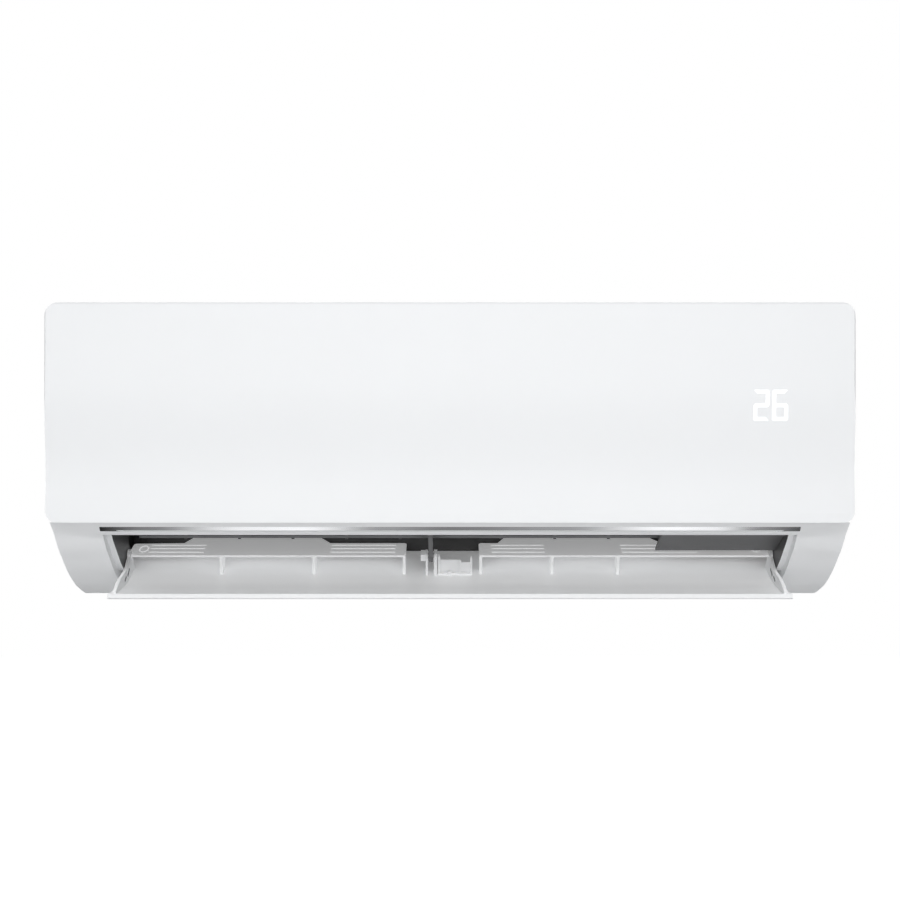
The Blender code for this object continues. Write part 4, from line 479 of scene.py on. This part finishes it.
def bead_section(low, high):
    """Section (y, z) of the bead: an arc from the upper edge, then back along the neck."""
    start, end = (math.radians(angle) for angle in BEAD_TURN)
    turns = [start + (end - start) * step / BEAD_STEPS for step in range(BEAD_STEPS + 1)]
    radius = (high.z - low.z) / (math.sin(start) - math.sin(end))
    centre = (low.y + BEAD_FRONT + radius, high.z - radius * math.sin(start))
    arc = [(centre[0] - radius * math.cos(turn), centre[1] + radius * math.sin(turn)) for turn in turns]
    foot = [(high.y - inward, low.z + rise) for inward, rise in BEAD_FOOT]
    return arc + foot


def build_bead():
    """The chrome bead. Its back and its ends have corners of their own, so the arc shades right."""
    low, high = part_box("outlet_trim")
    section = bead_section(low, high)
    rows = [[(x, y, z) for y, z in section] for x in (low.x, high.x)]
    shape = bmesh.new()
    lofted(shape, [row[:BEAD_STEPS + 1] for row in rows], closed=False)
    for face in shape.faces:
        face.smooth = True
    lofted(shape, [[*row[BEAD_STEPS:], row[0]] for row in rows], closed=False)
    for row in rows:
        shape.faces.new([shape.verts.new(point) for point in row])
    bead = new_piece("trim_bead", shape, "chrome", "unit")
    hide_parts("outlet_trim")


# Marks moulded into the two guide blades, in metres: the blades' pivot (y, z), their tilt, the
# ribs' places along a blade from its pivot and their spans in x, and the rings' middles (x, along)
PIVOT = (-0.078, -0.0913)
BLADE_TILT = math.radians(17.6)
BLADE_TOP = 0.0009
RIBS = (0.0280, 0.0180, 0.0070)
RIB_HALF = 0.0007
RIB_HEIGHT = 0.0005
RIB_SPANS = ((-0.2800, -0.2290), (-0.1110, -0.0510), (0.0386, 0.0880), (0.1600, 0.2300))
RINGS = ((-0.2860, 0.0165), (0.2850, 0.0165))
RING_RADII = (0.0039, 0.0092)
RING_WIRE = 0.0006
RING_STEPS = 24


def on_blade(x, along, above=0.0):
    """Place of a point given along a blade and above its upper face."""
    rise = BLADE_TOP + above
    cosine, sine = math.cos(BLADE_TILT), math.sin(BLADE_TILT)
    return Vector((x, PIVOT[0] + along * cosine - rise * sine, PIVOT[1] + along * sine + rise * cosine))


def add_rib(shape, span, along):
    """One fine rib, with a low crest before its middle."""
    rows = [[on_blade(x, along - RIB_HALF), on_blade(x, along - RIB_HALF / 2, RIB_HEIGHT),
             on_blade(x, along + RIB_HALF)] for x in span]
    lofted(shape, rows, closed=False)


def add_ring(shape, x, along):
    """One raised oval ring."""
    profile = ((-RING_WIRE, 0.0), (0.0, RING_WIRE), (RING_WIRE, 0.0))
    rows = []
    for step in range(RING_STEPS + 1):
        turn = math.tau * step / RING_STEPS
        rows.append([on_blade(x + (RING_RADII[0] + out) * math.cos(turn),
                              along + (RING_RADII[1] + out) * math.sin(turn), height)
                     for out, height in profile])
    lofted(shape, rows, closed=False)


def build_blade_marks():
    """Fine raised ribs and a moulded ring near the outer end of each blade's upper face."""
    for side, name in ((-1, "blade_marks_left"), (1, "blade_marks_right")):
        shape = bmesh.new()
        for span in RIB_SPANS:
            if span[0] * side > 0:
                for along in RIBS:
                    add_rib(shape, span, along)
        for x, along in RINGS:
            if x * side > 0:
                add_ring(shape, x, along)
        new_piece(name, shape, "rib", "flap")


# Slots near the flap's end ribs: corners (depth behind the front plane, height), in metres
RIB_FACE = 0.2951
RIB_SLOTS = (((0.1025, -0.1025), (0.1045, -0.1045), (0.0960, -0.1110), (0.0940, -0.1090)),
             ((0.0880, -0.1095), (0.0895, -0.1112), (0.0825, -0.1152), (0.0810, -0.1135)))
SLOT_PROUD = 0.00015


def build_rib_slots():
    """The slots on the inner faces of the flap's two end ribs, drawn as grey patches of painted shade."""
    for side, name in ((-1, "rib_slots_left"), (1, "rib_slots_right")):
        shape = bmesh.new()
        for corners in RIB_SLOTS:
            rows = [[(side * x, FRONT + depth, z) for depth, z in corners]
                    for x in (RIB_FACE, RIB_FACE - SLOT_PROUD)]
            face_row = lofted(shape, rows)[1]
            shape.faces.new(face_row)
        bmesh.ops.recalc_face_normals(shape, faces=shape.faces)
        new_piece(name, shape, "grey", "flap")


# Display digits that shine through the front panel, in metres. Each is cut into slices, which
# follow the panel's gentle hollow.
DIGIT_LOW, DIGIT_HIGH = 0.0256, 0.0520
DIGIT_MIDDLE = (DIGIT_LOW + DIGIT_HIGH) / 2
DIGIT_LEFTS = (0.2610, 0.2771)
DIGIT_WIDTH = 0.0136
DIGIT_SLICES = 16
DIGIT_PROUD = 0.00012
STROKE = 0.0031
STROKE_GAP = 0.0002
STROKE_CORNER = 0.0004
GLYPHS = {"2": "abged", "6": "afgecd"}
PANEL_FLAT_RISE = 0.1875
PANEL_HOLLOW_RUN = 0.0852
PANEL_HOLLOW = 0.0064


def panel_front(z):
    """Depth coordinate y of the panel's front face at a height."""
    share = max(0.0, (PANEL_FLAT_RISE - (z - BOTTOM)) / PANEL_HOLLOW_RUN)
    return FRONT + PANEL_HOLLOW * (1.0 - math.cos(math.pi * share)) / 2.0


def middle_stroke(left, right):
    """Outline (x, z) of a digit's middle bar, pointed at both ends."""
    half = STROKE / 2
    start, end = left + STROKE_GAP, right - STROKE_GAP
    high, low = DIGIT_MIDDLE + half, DIGIT_MIDDLE - half
    return [(start + half, high), (start, DIGIT_MIDDLE), (start + half, low),
            (end - half, low), (end, DIGIT_MIDDLE), (end - half, high)]


def level_stroke(left, right, outer, inner):
    """Outline (x, z) of a digit's top or bottom bar, from its outer to its inner height."""
    corner = STROKE_GAP + STROKE_CORNER
    mitre = STROKE_GAP + STROKE
    return [(left + corner, outer), (left + mitre, inner), (right - mitre, inner), (right - corner, outer)]


def upright_stroke(outer, inner, end):
    """Outline (x, z) of a digit's upright bar, between its outer and inner x, from one end."""
    way = 1.0 if DIGIT_MIDDLE > end else -1.0
    return [(outer, end + way * (STROKE_GAP + STROKE_CORNER)),
            (inner, end + way * (STROKE_GAP + STROKE)),
            (inner, DIGIT_MIDDLE - way * (STROKE_GAP + STROKE / 2)),
            (outer, DIGIT_MIDDLE - way * STROKE_GAP)]


def stroke_outline(letter, left):
    """Outline (x, z) of one stroke of a digit, by its usual letter."""
    right = left + DIGIT_WIDTH
    return {
        "a": level_stroke(left, right, DIGIT_HIGH, DIGIT_HIGH - STROKE),
        "b": upright_stroke(right, right - STROKE, DIGIT_HIGH),
        "c": upright_stroke(right, right - STROKE, DIGIT_LOW),
        "d": level_stroke(left, right, DIGIT_LOW, DIGIT_LOW + STROKE),
        "e": upright_stroke(left, left + STROKE, DIGIT_LOW),
        "f": upright_stroke(left, left + STROKE, DIGIT_HIGH),
        "g": middle_stroke(left, right),
    }[letter]


def build_digits():
    """The two lit digits, each laid on the panel's gentle hollow."""
    slice_height = (DIGIT_HIGH - DIGIT_LOW) / DIGIT_SLICES
    for glyph, left in zip("26", DIGIT_LEFTS):
        shape = bmesh.new()
        for letter in GLYPHS[glyph]:
            shape.faces.new([shape.verts.new((x, 0.0, z)) for x, z in stroke_outline(letter, left)])
        for step in range(1, DIGIT_SLICES):
            cut = (0, 0, DIGIT_LOW + slice_height * step)
            everything = shape.verts[:] + shape.edges[:] + shape.faces[:]
            bmesh.ops.bisect_plane(shape, geom=everything, plane_co=cut, plane_no=(0, 0, 1))
        bmesh.ops.recalc_face_normals(shape, faces=shape.faces)
        for corner in shape.verts:
            corner.co.y = panel_front(corner.co.z) - DIGIT_PROUD
        new_piece(f"digit_{glyph}", shape, "lit", "front_panel")


def add_camera():
    data = bpy.data.cameras.new("camera")
    data.lens = CAMERA_LENS
    data.shift_y = CAMERA_SHIFT
    camera = bpy.data.objects.new("camera", data)
    camera.location = (0.0, FRONT - CAMERA_DISTANCE, CAMERA_HEIGHT)
    camera.rotation_euler = (math.pi / 2, 0.0, 0.0)
    bpy.context.scene.collection.objects.link(camera)
    bpy.context.scene.camera = camera


def mixed(tree, factor, off, on):
    """One shader where a factor is 0 and another where it is 1."""
    node = tree.nodes.new("ShaderNodeMixShader")
    for socket, source in zip(node.inputs, (factor, off, on)):
        tree.links.new(source, socket)
    return node.outputs[0]


# What the world gives as light; it is plain white where it is seen
AMBIENT = 0.24
AMBIENT_TINT = (0.94, 0.97, 1.0, 1.0)


def seen_directly(tree):
    """A factor that is 1 for what the camera, a reflection or clear glass shows, and 0 for light."""
    path = tree.nodes.new("ShaderNodeLightPath")
    shown = math_result(tree, "MAXIMUM", path.outputs["Is Camera Ray"], path.outputs["Is Glossy Ray"])
    return math_result(tree, "MAXIMUM", shown, path.outputs["Is Transmission Ray"])


def add_world():
    world = bpy.data.worlds.new("studio")
    bpy.context.scene.world = world
    world.use_nodes = True
    tree = world.node_tree
    tree.nodes.clear()
    seen = tree.nodes.new("ShaderNodeBackground")
    seen.inputs["Color"].default_value = (1.0, 1.0, 1.0, 1.0)
    light = tree.nodes.new("ShaderNodeBackground")
    light.inputs["Color"].default_value = AMBIENT_TINT
    light.inputs["Strength"].default_value = AMBIENT
    out = tree.nodes.new("ShaderNodeOutputWorld")
    shown = mixed(tree, seen_directly(tree), light.outputs[0], seen.outputs[0])
    tree.links.new(shown, out.inputs["Surface"])


FLOOR_HEIGHT = -0.75
FLOOR_HALF = 8.0
FLOOR_COLOUR = (0.82, 0.82, 0.82, 1.0)
FLOOR_ROUGHNESS = 0.9
FLOOR_GLOW = 0.80

# Painted reflections: strips of light and dark on the floor, which only mirrors show, set so that the
# chrome bead shows them as its bright and dark bands. They fan out from under the outlet's bright line,
# and each is given by (x on that line in metres, brightness)
PAINTED_REFLECTIONS = ((-0.31, 0.01), (-0.26, 0.24), (-0.175, 1.0), (-0.13, 1.1), (-0.06, 0.36), (0.0, 0.22),
          (0.10, 0.36), (0.19, 1.1), (0.225, 1.0), (0.27, 0.28), (0.31, 0.08))
STRIP_HALF = 0.33
STRIP_BLUE = 1.01
LINE_Y, LINE_Z = -0.173, -0.067


def strip_ramp(tree):
    """A colour ramp over the strips, from one end of the bright line to the other. A new ramp has
    two knots, and the rest are added."""
    ramp = tree.nodes.new("ShaderNodeValToRGB")
    ramp.color_ramp.interpolation = "EASE"
    knots = ramp.color_ramp.elements
    for index, (x, bright) in enumerate(PAINTED_REFLECTIONS):
        spot = (x + STRIP_HALF) / (2 * STRIP_HALF)
        knot = knots[index] if index < 2 else knots.new(spot)
        knot.position = spot
        knot.color = (bright, bright, bright * STRIP_BLUE, 1.0)
    return ramp


def painted_reflection_strips(tree):
    """Brightness of the floor in a mirror: the painted reflection that the chrome bead shows. Each point
    of the floor takes the strip of the place on the bright line in which the camera sees it mirrored."""
    split = tree.nodes.new("ShaderNodeSeparateXYZ")
    tree.links.new(tree.nodes.new("ShaderNodeTexCoord").outputs["Object"], split.inputs["Vector"])
    ahead = math_result(tree, "SUBTRACT", split.outputs["Y"], LINE_Y)
    drop = (LINE_Z - FLOOR_HEIGHT) ** 2
    square = math_result(tree, "ADD", math_result(tree, "MULTIPLY", ahead, ahead), drop)
    reach = math_result(tree, "SQRT", square, 0.0)
    spread = math_result(tree, "ADD", math_result(tree, "DIVIDE", reach, CAMERA_DISTANCE), 1.0)
    along = math_result(tree, "DIVIDE", split.outputs["X"], spread)
    share = tree.nodes.new("ShaderNodeMapRange")
    share.inputs["From Min"].default_value = -STRIP_HALF
    share.inputs["From Max"].default_value = STRIP_HALF
    ramp = strip_ramp(tree)
    tree.links.new(along, share.inputs["Value"])
    tree.links.new(share.outputs["Result"], ramp.inputs["Fac"])
    return ramp.outputs["Color"]


def floor_material():
    """White where the camera sees it, with the object's shadow, plain for light, and striped with painted
    reflections for mirrors.
    """
    material = bpy.data.materials.new("floor_white")
    material.use_nodes = True
    tree = material.node_tree
    plain = tree.nodes["Principled BSDF"]
    plain.inputs["Base Color"].default_value = FLOOR_COLOUR
    plain.inputs["Roughness"].default_value = FLOOR_ROUGHNESS
    glow = tree.nodes.new("ShaderNodeEmission")
    glow.inputs["Strength"].default_value = FLOOR_GLOW
    white = tree.nodes.new("ShaderNodeAddShader")
    tree.links.new(plain.outputs[0], white.inputs[0])
    tree.links.new(glow.outputs[0], white.inputs[1])
    strips = tree.nodes.new("ShaderNodeEmission")
    tree.links.new(painted_reflection_strips(tree), strips.inputs["Color"])
    path = tree.nodes.new("ShaderNodeLightPath")
    direct = mixed(tree, path.outputs["Is Camera Ray"], plain.outputs[0], white.outputs[0])
    shown = mixed(tree, path.outputs["Is Glossy Ray"], direct, strips.outputs[0])
    tree.links.new(shown, tree.nodes["Material Output"].inputs["Surface"])
    return material


def add_floor():
    """Pale floor under the unit."""
    shape = bmesh.new()
    bmesh.ops.create_grid(shape, x_segments=1, y_segments=1, size=FLOOR_HALF)
    floor = new_object("floor", shape)
    floor.location = (0.0, 0.0, FLOOR_HEIGHT)
    floor.data.materials.append(floor_material())


# Softboxes: name, place, point they face, size across and up in metres, power in watts. A wide
# low one and a high one stand in front, one hangs overhead, and one lights the back.
SOFTBOXES = (
    ("low_box", (0.0, -2.35, 0.02), (0.0, -0.1, -0.09), (2.6, 0.7), 16.2),
    ("high_box", (0.0, -2.35, 0.86), (0.0, -0.1, -0.1), (2.4, 0.5), 23.0),
    ("top_box", (0.0, 0.5, 2.3), (0.0, 0.0, 0.0), (2.0, 1.5), 15.0),
    ("back_box", (0.0, 3.0, 1.2), (0.0, 0.0, 0.0), (3.0, 2.0), 45.0),
)


def add_softbox(name, spot, target, size, power):
    data = bpy.data.lights.new(name, "AREA")
    data.shape = "RECTANGLE"
    data.size = size[0]
    data.size_y = size[1]
    data.energy = power
    lamp = bpy.data.objects.new(name, data)
    lamp.location = spot
    aim = Vector(target) - Vector(spot)
    lamp.rotation_euler = aim.to_track_quat("-Z", "Y").to_euler()
    bpy.context.scene.collection.objects.link(lamp)


def add_stage():
    bpy.context.scene.view_settings.view_transform = "Standard"
    add_camera()
    add_world()
    add_floor()
    for softbox in SOFTBOXES:
        add_softbox(*softbox)


def main():
    dress_nodes()
    build_bead()
    build_blade_marks()
    build_rib_slots()
    build_digits()
    add_stage()


main()
